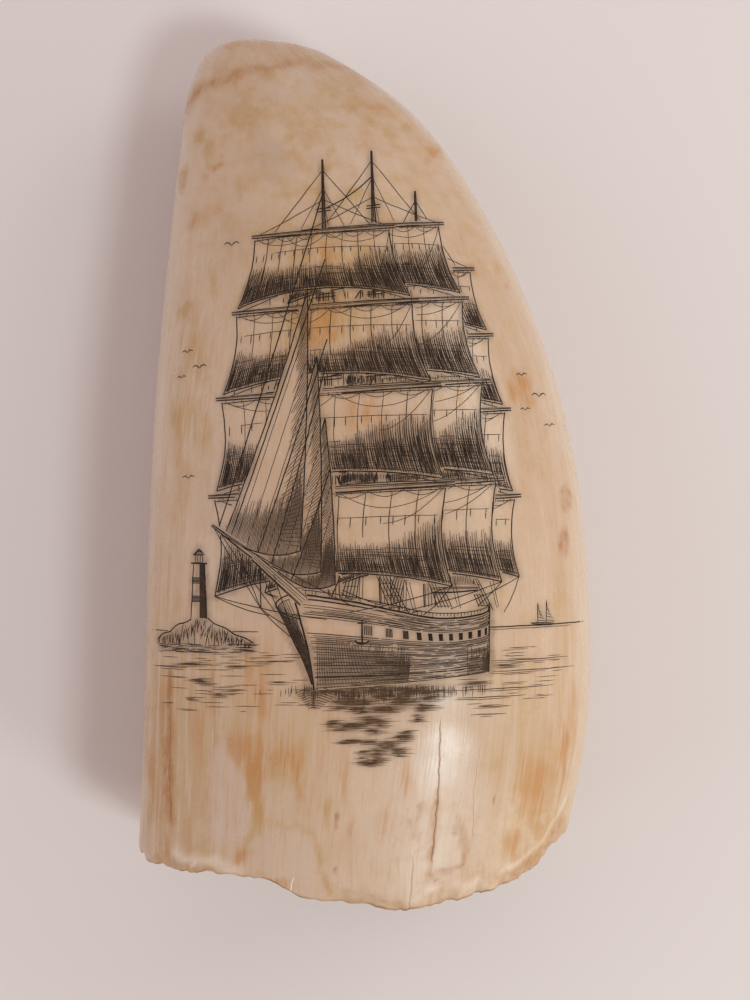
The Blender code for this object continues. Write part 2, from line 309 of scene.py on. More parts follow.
def sections(share):
    """Centres, half chords and half thicknesses of the sections at an array of shares from root to tip."""
    at = share * (len(LEFT_OUTLINE) - 1)
    ends = []
    for outline in (LEFT_OUTLINE, RIGHT_OUTLINE):
        ends.append(np.array([smooth_table(list(enumerate(axis)), at) for axis in zip(*outline)]))
    left, right = ends
    centre_x, centre_y = (left + right) / 2
    full = smooth_table(THICKNESS, centre_y)
    rounding = np.minimum(1.0, (1 - share) / TIP_ROUNDING)
    centre_z = full / 2 + smooth_table(UNDERSIDE_LIFT, centre_y) - FLAT_DEPTH
    centres = np.stack([centre_x, centre_y, centre_z], axis=-1)
    return centres, ((right - left) / 2).T, full / 2 * np.sin(rounding * math.pi / 2)


def ovals(angle):
    """Unit superellipse points at an array of angles."""
    across, up = np.cos(angle), np.sin(angle)
    power = 2 / (OVAL_POWER - LEFT_BLUNTNESS * across)
    return np.sign(across) * np.abs(across) ** power, np.sign(up) * np.abs(up) ** power


def waves(angle, *rows):
    """A sum of waves round the tooth, each given as its height, how many there are, and its phase."""
    return sum(height * np.sin(count * angle + phase) for height, count, phase in rows)


def rim_reach(angle):
    """How far the rim runs past the first section, with its ripple and its chips."""
    turn = np.degrees(angle) % 360
    ripple = waves(angle, (1, 7, 0.6), (0.7, 13, 2.1), (0.5, 19, 0))
    ragged = waves(angle, (0.07, 41, 1), (0.05, 67, 3), (0.05, 97, 0))
    ragged += 0.05 * np.sin(139 * angle + 2) * np.sin(9 * angle)
    reach = smooth_table(RIM_REACH, turn) + RIM_RIPPLE * ripple + ragged
    for place, half_width, depth in CHIPS:
        reach -= depth * np.sqrt(np.clip(1 - ((turn - place) / half_width) ** 2, 0, None))
    return reach


def share_of_height(height):
    """The share whose section's centre lies at each Y."""
    shares = np.linspace(0, 1, 4001)
    return np.interp(height, sections(shares)[0][:, 1], shares)


def section_at(height):
    """The centre and the half chord of the section whose centre lies at one Y."""
    centres, half_chords, _ = sections(share_of_height(np.array([float(height)])))
    return centres[0], half_chords[0]


def ring_shares():
    """Shares of the outer rings: even along the right edge, but closer near the root and at the rim."""
    shares = np.linspace(0, 0.992, 4001)
    centres, half_chords, _ = sections(shares)
    edge = centres[:, :2] + half_chords
    step = np.linalg.norm(np.diff(edge, axis=0), axis=1)
    from_root = centres[1:, 1] - centres[0, 1]
    crowding = 1 + RIM_CROWDING * np.exp(-from_root / RIM_CROWDING_RUN)
    crowding += ROOT_CROWDING * smooth_step(*ROOT_CROWDING_ENDS, from_root)
    length = np.concatenate([[0], np.cumsum(step * crowding)])
    return np.interp(np.linspace(0, length[-1], OUTER_RINGS + 1), length, shares)


def column_angles():
    """Angles of the columns, from the middle of the underside round, closer together on the face."""
    turn = 2 * math.pi * np.arange(COLUMNS) / COLUMNS - math.pi / 2
    return turn + TOP_CROWDING * np.cos(turn)


def angle_at(x, centre, half_chord):
    """The angle on the engraved face whose surface point lies at this X."""
    share = np.clip((x - centre[0]) / half_chord[0], -0.999, 0.999)
    angle = math.pi / 2
    for _ in range(4):
        power = 2 / (OVAL_POWER - LEFT_BLUNTNESS * math.cos(angle))
        angle = math.acos(math.copysign(abs(share) ** (1 / power), share))
    return angle


def follow_cracks(angles, centre, half_chord, rim_fade):
    """Bends a ring's columns along the cracks. Gives the angles, how far each is let down, and the dirt."""
    bent = angles.copy()
    sunk, dirt = np.zeros(COLUMNS), np.zeros(COLUMNS)
    for path, depth, grime, reach in CRACKS:
        xs, ys = np.array(path).T
        middle = angle_at(xs[len(xs) // 2], *section_at(ys[len(ys) // 2]))
        column = int(np.argmin(np.abs(angles - middle)))
        height = centre[1] - rim_fade * rim_reach(middle)
        waver = 0.06 * math.sin(1.9 * height) + 0.04 * math.sin(4.7 * height + 1.0)
        target = angle_at(np.interp(-height, -ys, xs) + waver, centre, half_chord)
        run = min(3.0, 0.3 * (ys[0] - ys[-1]))
        ends = smooth_step(ys[0], ys[0] - run, height) * smooth_step(ys[-1], ys[-1] + 0.7 * run, height)
        sunk[column] += depth * ends
        dirt[column] = grime * ends
        grip = smooth_step(ys[0] + 9, ys[0] + 1, height) * smooth_step(ys[-1] - 9, ys[-1] - 1, height)
        offset = np.arange(-reach, reach + 1)
        columns = column + offset
        steps = np.abs(offset)
        pull = np.cos((steps - 2).clip(0) / (reach - 1) * math.pi / 2) ** 2
        spacing = (angles[column + 1] - angles[column - 1]) / 2
        narrow = CRACK_HALF_WIDTH / half_chord[0] / max(abs(math.sin(target)), 0.35)
        narrow *= CRACK_START + (1 - CRACK_START) * smooth_step(ys[0], ys[-1], height)
        crowded = target + np.sign(offset) * (narrow * steps.clip(0, 2) + spacing * (steps - 2).clip(0))
        spread = angles[columns] + pull * (target - angles[column])
        bent[columns] += grip * ((1 - pull**2) * spread + pull**2 * crowded - angles[columns])
    return bent, sunk, dirt


class ToothLoft:
    """Rings of points, from the tip to the rim and up the cavity, and marks that say what each point is."""

    MARKS = ("outside", "face", "flank", "broken", "cavity", "crack")

    def __init__(self):
        self.rings = []
        self.marks = {name: [] for name in self.MARKS}

    def add_ring(self, points, **marks):
        self.rings.append(points)
        for name in self.MARKS:
            self.marks[name].append(np.broadcast_to(marks.get(name, 0.0), (COLUMNS,)).astype(float))


def outer_rings(loft, angles):
    """The outside of the tooth from the tip to the rim, with its cracks and the broken bevel."""
    shares = ring_shares()
    centres, half_chords, half_thicknesses = sections(shares)
    for ring in reversed(range(OUTER_RINGS + 1)):
        centre, half_chord, half_thickness = centres[ring], half_chords[ring], half_thicknesses[ring]
        from_root = centre[1] - centres[0, 1]
        rim_fade = max(0.0, 1 - from_root / RIM_FADE) ** 1.5
        bent, sunk, dirt = follow_cracks(angles, centre, half_chord, rim_fade)
        across, up = ovals(bent)
        points = np.zeros((COLUMNS, 3))
        points[:, :2] = centre[:2] + np.outer(across, half_chord)
        points[:, 2] = centre[2] + half_thickness * up
        points[:, 1] -= rim_reach(bent) * rim_fade
        inwards = np.column_stack([np.outer(-across, half_chord), -half_thickness * up])
        inwards /= np.maximum(np.linalg.norm(inwards, axis=1, keepdims=True), 1e-6)
        bevel = smooth_table(RIM_BEVEL, np.degrees(bent) % 360)
        bevel *= 1 + 0.25 * np.sin(23 * bent) * np.sin(11 * bent)
        broken = np.clip(bevel - from_root, 0.0, None)
        points += inwards * (BEVEL_SLOPE * broken + sunk)[:, None]
        points[:, 2] = np.maximum(points[:, 2], 0.0)
        # The rim's outer edge is darkened unevenly, laid on with the cracks' colour.
        if ring == 0:
            dirt = np.maximum(dirt, LIP_DARKENING + LIP_UNEVENNESS * np.sin(31 * bent) * np.sin(17 * bent + 1))
        loft.add_ring(
            points,
            outside=smooth_step(0.1, 0.8, points[:, 2]),
            face=smooth_step(-0.35, 0.3, up),
            # flank: the sides of the face, which the ivory shader lays paler as painted bounce light
            flank=smooth_step(0.0, 0.37, 0.62 + LEFT_BOUNCE_LIGHT_REACH * np.clip(-across, 0, 1) - up),
            broken=smooth_step(0.0, 0.25, broken),
            crack=dirt,
        )


def cavity_ring(depth_share, angles):
    """Points of the pulp cavity's wall: 0 is at the rim and 1 at the cavity's closed end."""
    centres, half_chords, half_thicknesses = sections(np.array([0.0]))
    mouth, mouth_half_chord, mouth_half_thickness = centres[0], half_chords[0], half_thicknesses[0]
    centre, half_chord = section_at(mouth[1] + depth_share * CAVITY_DEPTH)
    narrowing = 1 - depth_share**CAVITY_TAPER
    across, up = ovals(angles)
    wall = RIM_WALL + 0.35 * np.sin(3 * angles + 1) + 0.2 * np.sin(8 * angles)
    wide = (np.linalg.norm(mouth_half_chord) - wall) * narrowing
    tall = (mouth_half_thickness - wall) * narrowing
    points = np.zeros((COLUMNS, 3))
    points[:, :2] = centre[:2] + np.outer(across * wide, half_chord / np.linalg.norm(half_chord))
    points[:, 2] = centre[2] + tall * up
    points[:, 1] -= (rim_reach(angles) - 0.5) * (1 - depth_share) ** 6
    return points


def inner_rings(loft, angles):
    """The broken face of the rim, and then the pulp cavity, from the rim inwards. Gives the cavity's end."""
    outer_edge, inner_edge = loft.rings[-1], cavity_ring(0.0, angles)
    for ring in range(1, RIM_RINGS + 1):
        share = ring / RIM_RINGS
        points = outer_edge * (1 - share) + inner_edge * share
        crumble = np.sin(29 * angles + 1.5 + 5 * share) + 0.8 * np.sin(47 * angles + 3.4 - 9 * share)
        crumble += 0.6 * np.sin(71 * angles + 2.3 + 14 * share) + np.sin(11 * angles + 3.8 + 3 * share)
        points[:, 1] -= math.sin(math.pi * share) * (0.12 + 0.13 * crumble)
        loft.add_ring(points, broken=1.0, cavity=share**4)
    for ring in range(1, CAVITY_RINGS + 1):
        depth_share = 0.97 * (ring / CAVITY_RINGS) ** CAVITY_CROWDING
        loft.add_ring(cavity_ring(depth_share, angles), cavity=1.0, broken=max(0.0, 1 - 12 * depth_share))
    return cavity_ring(1.0, angles)[0]


def loft_faces(ring_count):
    """Quads between the rings and a fan of triangles at each end, facing outwards."""
    first = np.arange(COLUMNS)
    following = np.roll(first, -1)
    rows = np.arange(ring_count - 1)[:, None] * COLUMNS
    corners = [first + rows, following + rows, following + rows + COLUMNS, first + rows + COLUMNS]
    quads = np.stack(corners, axis=-1).reshape(-1, 4)
    tip, end = ring_count * COLUMNS, ring_count * COLUMNS + 1
    last = (ring_count - 1) * COLUMNS
    fans = [(tip, int(b), int(a)) for a, b in zip(first, following)]
    fans += [(end, int(a + last), int(b + last)) for a, b in zip(first, following)]
    return quads.tolist() + fans


# ---------------------------------------------------------------- where the stains lie

# Ink left by rubbing: the area it is worked out on, its cells, how far it spreads, and where it shows.
RUBBED_BOX = ((-40, -70), (40, 70))
RUBBED_CELL, RUBBED_REACH = 0.4, 0.75
RUBBED_ENDS = (0.006, 0.075)
GRAIN_HALF_WIDTH = 34.0  # of every section, as the grain counts it
LEAST_HALF_WIDTH = 12.0


def wandered(points, reach, size):
    """Places on the face pushed about by slow waves, which make a stain's outline irregular."""
    x, y = points[:, 0] / size, points[:, 1] / (1.7 * size)
    push_x = np.sin(1.3 * y + 2.0 * np.sin(x + 0.7)) + 0.6 * np.sin(3.1 * y + 2.3 * x + 1.1)
    push_y = np.sin(1.7 * x + 1.6 * np.sin(y + 2.9)) + 0.6 * np.sin(3.7 * x - 2.2 * y + 0.4)
    return points[:, :2] + reach * np.stack([push_x, 1.8 * push_y], axis=-1)


def stain_field(points, stains, reach=0.35):
    """The strongest of the soft stains at each point, some of them painted light: 1 in the middle of a full
    one.
    """
    at = wandered(points, reach, 2.2)
    field = np.zeros(len(points))
    for x, y, half_width, half_length, strength in stains:
        away = ((at[:, 0] - x) / half_width) ** 2 + ((at[:, 1] - y) / half_length) ** 2
        field = np.maximum(field, strength * np.exp(-0.5 * away))
    return field


def nearest_on(points, path):
    """How far each point is from a path, and where on it the nearest place is, counted in its corners."""
    distance, place = np.full(len(points), np.inf), np.zeros(len(points))
    corners = np.array(path)[:, :2]
    for k, (start, end) in enumerate(zip(corners[:-1], corners[1:])):
        along = end - start
        share = np.clip((points - start) @ along / (along @ along), 0, 1)
        away = np.linalg.norm(points - start - np.outer(share, along), axis=1)
        place = np.where(away < distance, k + share, place)
        distance = np.minimum(distance, away)
    return distance, place


def patch_field(points, patches):
    """A mark that rises across each closed outline, where it is one half."""
    at = wandered(points, 0.12, 1.6)
    field = np.zeros(len(at))
    for outline in patches:
        closed = (*outline, outline[0])
        away, place = nearest_on(at, closed)
        softness = np.interp(place, np.arange(len(closed)), [row[2] for row in closed])
        within = np.where(inside(at, np.array(outline)[:, :2]), away, -away)
        field = np.maximum(field, np.clip(0.5 + 0.22 * within / softness, 0, 1))
    return field


def line_field(points, lines):
    """Lines along paths, for stains and for painted highlights: 1 in the middle of a full one."""
    at = wandered(points, 0.16, 2.0)
    field = np.zeros(len(at))
    for path, half_width, strength in lines:
        away, _ = nearest_on(at, path)
        field = np.maximum(field, strength * np.exp(-((away / half_width) ** 2)))
    return field


def rubbed_ink(points, strokes):
    """How much ink the rubbing has left round the strokes at each point."""
    low, high = np.array(RUBBED_BOX)
    shape = tuple(np.ceil((high - low) / RUBBED_CELL).astype(int))
    grid = np.zeros(shape)
    for stroke in strokes:
        at = ((stroke.points - low) / RUBBED_CELL).astype(int)
        np.add.at(grid, (at[:, 0], at[:, 1]), stroke.half_width * stroke.load)
    kernel = np.exp(-((np.arange(-4, 5) * RUBBED_CELL / RUBBED_REACH) ** 2))
    for axis in (0, 1):
        grid = np.apply_along_axis(np.convolve, axis, grid, kernel / kernel.sum(), mode="same")
    at = np.clip((points[:, :2] - low) / RUBBED_CELL - 0.5, 0, np.array(shape) - 1.001)
    (i, j), (u, v) = at.astype(int).T, (at % 1).T
    near = grid[i, j] * (1 - u) + grid[i + 1, j] * u
    far = grid[i, j + 1] * (1 - u) + grid[i + 1, j + 1] * u
    return smooth_step(*RUBBED_ENDS, near * (1 - v) + far * v)


def grain_coordinates(points):
    """Coordinates in mm that converge with the tooth's outline towards its tip."""
    centres, half_chords, _ = sections(share_of_height(points[:, 1]))
    half_width = np.maximum(np.abs(half_chords[:, 0]), LEAST_HALF_WIDTH)
    across = (points[:, 0] - centres[:, 0]) * GRAIN_HALF_WIDTH / half_width
    return np.stack([across, points[:, 1], points[:, 2]], axis=-1)


# ---------------------------------------------------------------- the engraved picture

FINE, THIN, LINE, BOLD = 0.052, 0.07, 0.095, 0.135  # half widths of the needle's strokes
STROKE_STEP = 0.7  # between a stroke's points

# The ship is set out in metres: a ahead, s to starboard, h above the water.
HEADING = math.radians(22)  # between the ship's course and the viewer
BRACING = math.radians(12)  # how far the yards are hauled round
HEEL = math.radians(2.4)
EYE_HEIGHT = 4.6
EYE_DISTANCE = 170.0
SHIP_SCALE = 1.68  # mm on the tooth for a metre of ship
SHIP_PLACE = (3.6, -33.6)
HORIZON = SHIP_PLACE[1] + EYE_HEIGHT * SHIP_SCALE
WATER_TILT = 0.018

# Masts: place along the hull, height, depth behind the viewer's nearest mast,
# and their yards as (height, half length, height of the sail's foot).
Mast = namedtuple("Mast", "a top depth yards")
FORE = Mast(11.5, 45.5, 20, ((16.2, 10, 8), (24.6, 9.2, 17), (32, 7.7, 25.3), (38.6, 5.9, 32.7)))
MAIN = Mast(0.0, 49.0, 40, ((17.2, 10.6, 8.4), (26.2, 9.7, 18), (34, 8.2, 26.9), (41.2, 6.3, 34.8)))
MIZZEN = Mast(-11.2, 47.5, 60, ((16.4, 8.8, 9), (24.8, 8.2, 17.2), (32.2, 6.9, 25.6), (38.9, 5.4, 33)))
MAST_RAKE = 0.03
BELLY = 1.9
STERN, HALF_BEAM = -18.5, 5.2

# A stroke of the needle: its load is how much ink it holds, and its taper how much its ends thin.
Stroke = namedtuple("Stroke", "points group depth half_width load taper")


class Picture:
    """Strokes in mm on the engraved face, and the shapes that hide what lies behind them.

    A depth is a number that grows away from the viewer. A shape hides every stroke deeper than itself.
    """

    def __init__(self, seed):
        self.strokes = []
        self.covers = []
        self.dice = random.Random(seed)

    def cover(self, outline, depth):
        self.covers.append((np.asarray(outline, float), depth))

    def pen(self, group, depth):
        """A pen that engraves strokes of one group at one depth."""

        def engrave(points, half_width=THIN, load=0.9, wobble=0.04, taper=0.25):
            points = resample(np.asarray(points, float), STROKE_STEP)
            if len(points) > 1:
                points = points + tremble(self.dice, len(points), wobble)
                self.strokes.append(Stroke(points, group, depth, half_width, load, taper))

        return engrave

    def visible(self):
        """The strokes, cut where a nearer shape hides them."""
        shown = []
        for stroke in self.strokes:
            points = stroke.points
            seen = np.ones(len(points), bool)
            low, high = points.min(0), points.max(0)
            for outline, depth in self.covers:
                apart = (outline.min(0) > high).any() or (outline.max(0) < low).any()
                if depth < stroke.depth and not apart:
                    seen &= ~inside(points, outline)
            shown += [stroke._replace(points=points[run]) for run in runs_of(seen) if len(run) > 1]
        return shown


def resample(points, step):
    """Points at even steps along a path."""
    length = np.concatenate([[0], np.cumsum(np.linalg.norm(np.diff(points, axis=0), axis=1))])
    if length[-1] < 0.05:
        return points[:1]
    at = np.linspace(0, length[-1], max(2, math.ceil(length[-1] / step) + 1))
    return np.stack([np.interp(at, length, points[:, k]) for k in (0, 1)], axis=-1)


def tremble(dice, count, size):
    """A hand's slow shake along a stroke."""
    phase = [dice.uniform(0, 2 * math.pi) for _ in range(4)]
    at = np.arange(count) * dice.uniform(0.5, 0.9)
    x = np.sin(at + phase[0]) + 0.6 * np.sin(2.3 * at + phase[1])
    y = np.sin(at + phase[2]) + 0.6 * np.sin(2.3 * at + phase[3])
    return np.stack([x, y], axis=-1) * size * 0.5


def inside(points, outline):
    """Which points lie inside a closed outline."""
    x, y = points[:, :1], points[:, 1:]
    x1, y1 = outline.T
    x2, y2 = np.roll(outline, -1, axis=0).T
    crosses = (y1 > y) != (y2 > y)
    with np.errstate(divide="ignore", invalid="ignore"):
        at = x1 + (y - y1) * (x2 - x1) / (y2 - y1)
    return ((crosses & (x < at)).sum(axis=1) % 2).astype(bool)


def runs_of(seen):
    """Index runs of True in a mask."""
    edges = np.flatnonzero(np.diff(np.concatenate([[0], seen.astype(int), [0]])))
    return [np.arange(start, stop) for start, stop in zip(edges[::2], edges[1::2])]


def ship_view(point):
    """Where points of the ship, as (a, s, h), fall on the tooth."""
    a, s, h = (np.asarray(value, float) for value in point)
    across = -a * math.sin(HEADING) - s * math.cos(HEADING)
    away = -a * math.cos(HEADING) + s * math.sin(HEADING)
    nearness = EYE_DISTANCE / (EYE_DISTANCE + away)
    x = across * nearness
    y = (h - EYE_HEIGHT) * nearness + EYE_HEIGHT
    turned_x = x * math.cos(HEEL) - y * math.sin(HEEL)
    turned_y = x * math.sin(HEEL) + y * math.cos(HEEL)
    return np.stack([turned_x, turned_y], axis=-1) * SHIP_SCALE + SHIP_PLACE


def straight(start, end, count):
    """A straight line between two points of the ship."""
    return ship_view(np.linspace(start, end, count).T)


def dashes(dice, at, stop, lengths, gaps):
    """The starts and ends of a row of dashes made by hand."""
    while at < stop:
        length = dice.uniform(*lengths)
        yield at, at + length
        at += length + dice.uniform(*gaps)


def ship_line(start, end, sag=0.0):
    """A rope between two points of the ship, hanging by its sag in metres."""
    u = np.linspace(0, 1, 24)[:, None]
    points = np.array(start, float) * (1 - u) + np.array(end, float) * u
    points[:, 2] -= 4 * sag * (u * (1 - u))[:, 0]
    return ship_view(points.T)


def on_mast(mast, h, s=0.0):
    """A point of a mast, or beside it."""
    return mast.a - MAST_RAKE * h, s, h


class SquareSail:
    """A square sail set from its yard: u runs from -1 to 1 to starboard, v from the head to the foot."""

    def __init__(self, mast, tier):
        self.mast = mast
        self.head_h, self.half_head, self.foot_h = mast.yards[tier]
        self.half_foot = mast.yards[tier - 1][1] * 0.98 if tier else self.half_head * 1.02
        self.arc = 1.0 if tier else 1.5
        self.depth = mast.depth + 3 - tier * 0.5

    def point(self, u, v):
        u, v = np.broadcast_arrays(np.asarray(u, float), np.asarray(v, float))
        half = self.half_head * (1 - 0.06 * np.sin(math.pi * v)) + (self.half_foot - self.half_head) * v
        h = self.head_h + (self.foot_h - self.head_h) * v + self.arc * (1 - u**2) * v**2.4
        belly = BELLY * (1 - np.abs(u) ** 2.2) * np.sin(math.pi * np.minimum(1, 0.12 + 0.72 * v))
        a = on_mast(self.mast, h)[0] + u * half * math.sin(BRACING) + belly * math.cos(BRACING) + 0.6
        s = u * half * math.cos(BRACING) - belly * math.sin(BRACING)
        return ship_view((a, s, h))

    def outline(self):
        v, u = np.linspace(0, 1, 12), np.linspace(-1, 1, 16)
        head, foot = self.point(u, 0), self.point(u[::-1], 1)[1:]
        return np.concatenate([head, self.point(1, v)[1:], foot, self.point(-1, v[::-1])[1:-1]])


def draw_square_sail(picture, sail, shade_from, dark_side):
    """One sail: its edges, cloths, reef band, buntlines, and hatching that deepens to the foot."""
    dice = picture.dice
    pen = picture.pen("sails", sail.depth)
    picture.cover(sail.outline(), sail.depth)
    v, u = np.linspace(0, 1, 20), np.linspace(-1, 1, 30)
    for edge, half_width, load in (
        (sail.point(1, v), LINE, 1.0),
        (sail.point(-1, v), LINE, 1.0),
        (sail.point(u, 0.012), THIN, 0.9),
        (sail.point(u, 1.0), LINE, 1.0),
        (sail.point(u, 0.955), THIN, 0.8),
    ):
        pen(edge, half_width, load, taper=0.1)
    cloths = 9
    for k in range(1, cloths):
        stop = dice.choice((0.95, dice.uniform(0.45, 0.7)))
        pen(sail.point(-1 + 2 * k / cloths, np.linspace(0.02, stop, 10)), dice.choice((FINE, THIN)), 0.85)
    reef = 0.27 + dice.uniform(-0.02, 0.02)
    pen(sail.point(np.linspace(-0.97, dice.uniform(0.6, 0.97), 20), reef), FINE, 0.75)
    for k in range(17):
        at = -0.94 + 1.88 * (k + dice.uniform(-0.15, 0.15)) / 16
        drop = dice.uniform(0.07, 0.12)
        pen(sail.point(at, np.linspace(reef - 0.01, reef + drop, 3)), THIN, 0.95, taper=0.6)
    t = np.linspace(0, 1, 16)
    for low, high, sag in ((-0.94, -0.12, 0.17), (-0.1, 0.5, 0.2), (0.08, 0.95, 0.14)):
        pen(sail.point(low + (high - low) * t, 4 * sag * t * (1 - t) + 0.01), FINE, 0.7)
    shade_sail(picture, sail, shade_from, dark_side)


def shade_sail(picture, sail, shade_from, dark_side):
    """Upright hatching in four passes, and level hatching over the foot."""
    dice = picture.dice
    pen = picture.pen("sails", sail.depth)
    width = np.linalg.norm(sail.point(1, 0.8) - sail.point(-1, 0.8))
    phase = dice.uniform(0, 2 * math.pi)
    passes = (
        (0.34, 0.02, 0.0, FINE, 0.8),
        (0.32, 0.09, 0.01, FINE, 0.9),
        (0.34, 0.17, -0.035, FINE, 1.0),
        (0.36, 0.24, 0.0, THIN, 1.0),
    )
    for layer, (gap, shift, lean, half_width, load) in enumerate(passes):
        count = int(width / gap)
        for k in range(count):
            if dice.random() < 0.06:
                continue
            at = -0.985 + 1.97 * (k + 0.5 * layer + dice.uniform(-0.2, 0.2)) / count
            wave = 0.06 * math.sin(3.1 * at + phase) + 0.04 * math.sin(7.3 * at + 2 * phase)
            start = shade_from + wave - 0.2 * max(0.0, dark_side * at) ** 1.5 + shift
            start = max(start + dice.gauss(0, 0.022), 0.04)
            stop = 0.985 - abs(dice.gauss(0, 0.012))
            if abs(at) < 0.99 and start < stop - 0.04:
                v = np.linspace(start, stop, 8)
                pen(sail.point(at + lean * (v - start), v), half_width, load, 0.02, 0.4)
    for v in np.arange(shade_from + 0.06, 0.975, 0.026):
        for start, end in dashes(dice, -0.97, 0.95, (0.12, 0.5), (0, 0.1)):
            if dice.random() < 0.35 + 1.2 * (v - shade_from):
                line = np.linspace(start, min(end, 0.98), 12)
                pen(sail.point(line, v + dice.uniform(-0.008, 0.008)), FINE, 0.8, 0.02, 0.4)


def draw_spar(picture, start, end, half_widths, depth, strokes=3):
    """A tapering round spar, shaded along its length: half_widths are at its start, middle and end."""
    pen = picture.pen("rigging", depth)
    u = np.linspace(0, 1, 14)
    centre = ship_view(np.array(start, float)[:, None] * (1 - u) + np.array(end, float)[:, None] * u)
    along = centre[-1] - centre[0]
    side = np.array([-along[1], along[0]]) / np.linalg.norm(along)
    if side[1] < 0 or (abs(side[1]) < 0.2 and side[0] < 0):
        side = -side
    half = np.interp(u, (0, 0.5, 1), half_widths)[:, None] * SHIP_SCALE * side
    picture.cover(np.concatenate([centre + half, (centre - half)[::-1]]), depth)
    pen(centre + half, THIN, 1.0, 0.02, 0.1)
    pen(centre - half, LINE, 1.0, 0.02, 0.1)
    for k in range(strokes):
        pen(centre + half * (-0.75 + 1.1 * k / max(strokes - 1, 1)), FINE, 0.85, 0.03, 0.3)


def yard_end(mast, tier, side, out=1.07):
    """The end of a yard, or a share of the way out along it."""
    h, half, _ = mast.yards[tier]
    a, _, _ = on_mast(mast, h)
    return a + side * half * out * math.sin(BRACING) + 0.35, side * half * out * math.cos(BRACING), h + 0.35


def draw_mast(picture, mast, dark_side):
    """A mast with its four sails, yards, tops and rigging."""
    _, top, depth, yards = mast
    lower_top, upper_top = yards[0][0] + 1.9, yards[1][0] + 1.4
    for tier, shade_from in enumerate((0.55, 0.5, 0.54, 0.52)):
        draw_square_sail(picture, SquareSail(mast, tier), shade_from, dark_side)
        draw_yard(picture, mast, tier)
        if tier:
            draw_gap(picture, mast, tier)
    for low, high, widths, lift in (
        (4, lower_top + 2, (0.5, 0.48, 0.42), 0.0),
        (lower_top, upper_top + 8, (0.34, 0.3, 0.24), 0.1),
        (upper_top + 7, top, (0.22, 0.15, 0.05), 0.2),
    ):
        draw_spar(picture, on_mast(mast, low), on_mast(mast, high), widths, depth + 7 + lift, 3)
    pen = picture.pen("rigging", depth + 6.5)
    crossings = ((lower_top, 1.7), (upper_top, 1.25), (yards[2][0] + 1.2, 0.9), (yards[3][0] + 2.2, 0.7))
    for h, half in crossings:
        for lift in (0, 0.25):
            pen(ship_line(on_mast(mast, h + lift, half), on_mast(mast, h + lift, -half)), LINE, 1.0)
    for side in (1, -1):
        draw_shrouds(picture, mast, side, lower_top, upper_top)


def draw_yard(picture, mast, tier):
    """A yard with its lifts, footropes and the ties of its sail."""
    sail = SquareSail(mast, tier)
    widths = (0.12, 0.3 - 0.04 * tier, 0.12)
    draw_spar(picture, yard_end(mast, tier, 1), yard_end(mast, tier, -1), widths, sail.depth + 0.1, 2)
    lift_pen = picture.pen("rigging", mast.depth + 5)
    pen = picture.pen("rigging", sail.depth - 0.2)
    t = np.linspace(0, 1, 8)
    for side in (1, -1):
        end = yard_end(mast, tier, side, 1.0)
        lift_pen(ship_line(end, on_mast(mast, end[2] + 2.9), 0.1), THIN, 0.8)
        for k in range(3):
            u = side * (0.95 - 0.3 * (k + t))
            pen(sail.point(u, 0) - np.stack([0 * t, 3.6 * t * (1 - t)], axis=-1), FINE, 0.8)
        for k in range(12):
            head = sail.point(side * (k + 0.5) / 12, 0.0)
            pen([head + (0, 0.25), head - (0, 0.35)], FINE, 0.9)


def draw_gap(picture, mast, tier):
    """The dark slot with its gear between a sail's foot and the yard below."""
    dice = picture.dice
    pen = picture.pen("rigging", mast.depth + 6)
    sail, below = SquareSail(mast, tier), SquareSail(mast, tier - 1)
    for k in range(24):
        at = -0.95 + 1.9 * k / 23 + dice.uniform(-0.02, 0.02)
        if dice.random() < 0.75:
            pen([sail.point(at, 1.0), below.point(at * 0.98, 0.0)], dice.choice((FINE, THIN, LINE)), 0.9)


def draw_shrouds(picture, mast, side, lower_top, upper_top):
    """The standing rigging on one side of a mast, with ratlines on the lower shrouds."""
    depth, top = mast.depth, mast.top
    pen, top_pen = picture.pen("rigging", depth + 8), picture.pen("rigging", depth + 6)
    head = on_mast(mast, lower_top, side * 0.4)
    feet = [(mast.a - 0.6 - 0.95 * k, side * 5.0, 6.0) for k in range(5)]
    for foot in feet:
        pen(ship_line(head, foot), THIN, 0.95)
    for k in range(11):
        share = 0.12 + 0.084 * k
        ends = [(1 - share) * np.array(head) + share * np.array(foot) for foot in (feet[0], feet[-1])]
        pen(ship_line(*ends), FINE, 0.8)
    for k in range(3):
        a, s, h = on_mast(mast, lower_top, side * 1.7)
        pen(ship_line(on_mast(mast, upper_top, side * 0.2), (a - 0.5 * k, s, h)), THIN, 0.85)
        a, s, h = on_mast(mast, upper_top, side * 1.2)
        pen(ship_line(on_mast(mast, top - 5, side * 0.1), (a - 0.3 * k, s, h)), FINE, 0.8)
    pen(ship_line(on_mast(mast, upper_top + 7), (mast.a - 5.6, side * 5.0, 6.2)), FINE, 0.8)
    pen(ship_line(on_mast(mast, top - 4), (mast.a - 6.4, side * 4.9, 6.3)), FINE, 0.8)
    top_pen(ship_line(on_mast(mast, top - 1), yard_end(mast, 3, side, 0.75)), THIN, 0.85)
    top_pen(ship_line(on_mast(mast, top - 2.6), yard_end(mast, 3, side, 0.35)), FINE, 0.85)


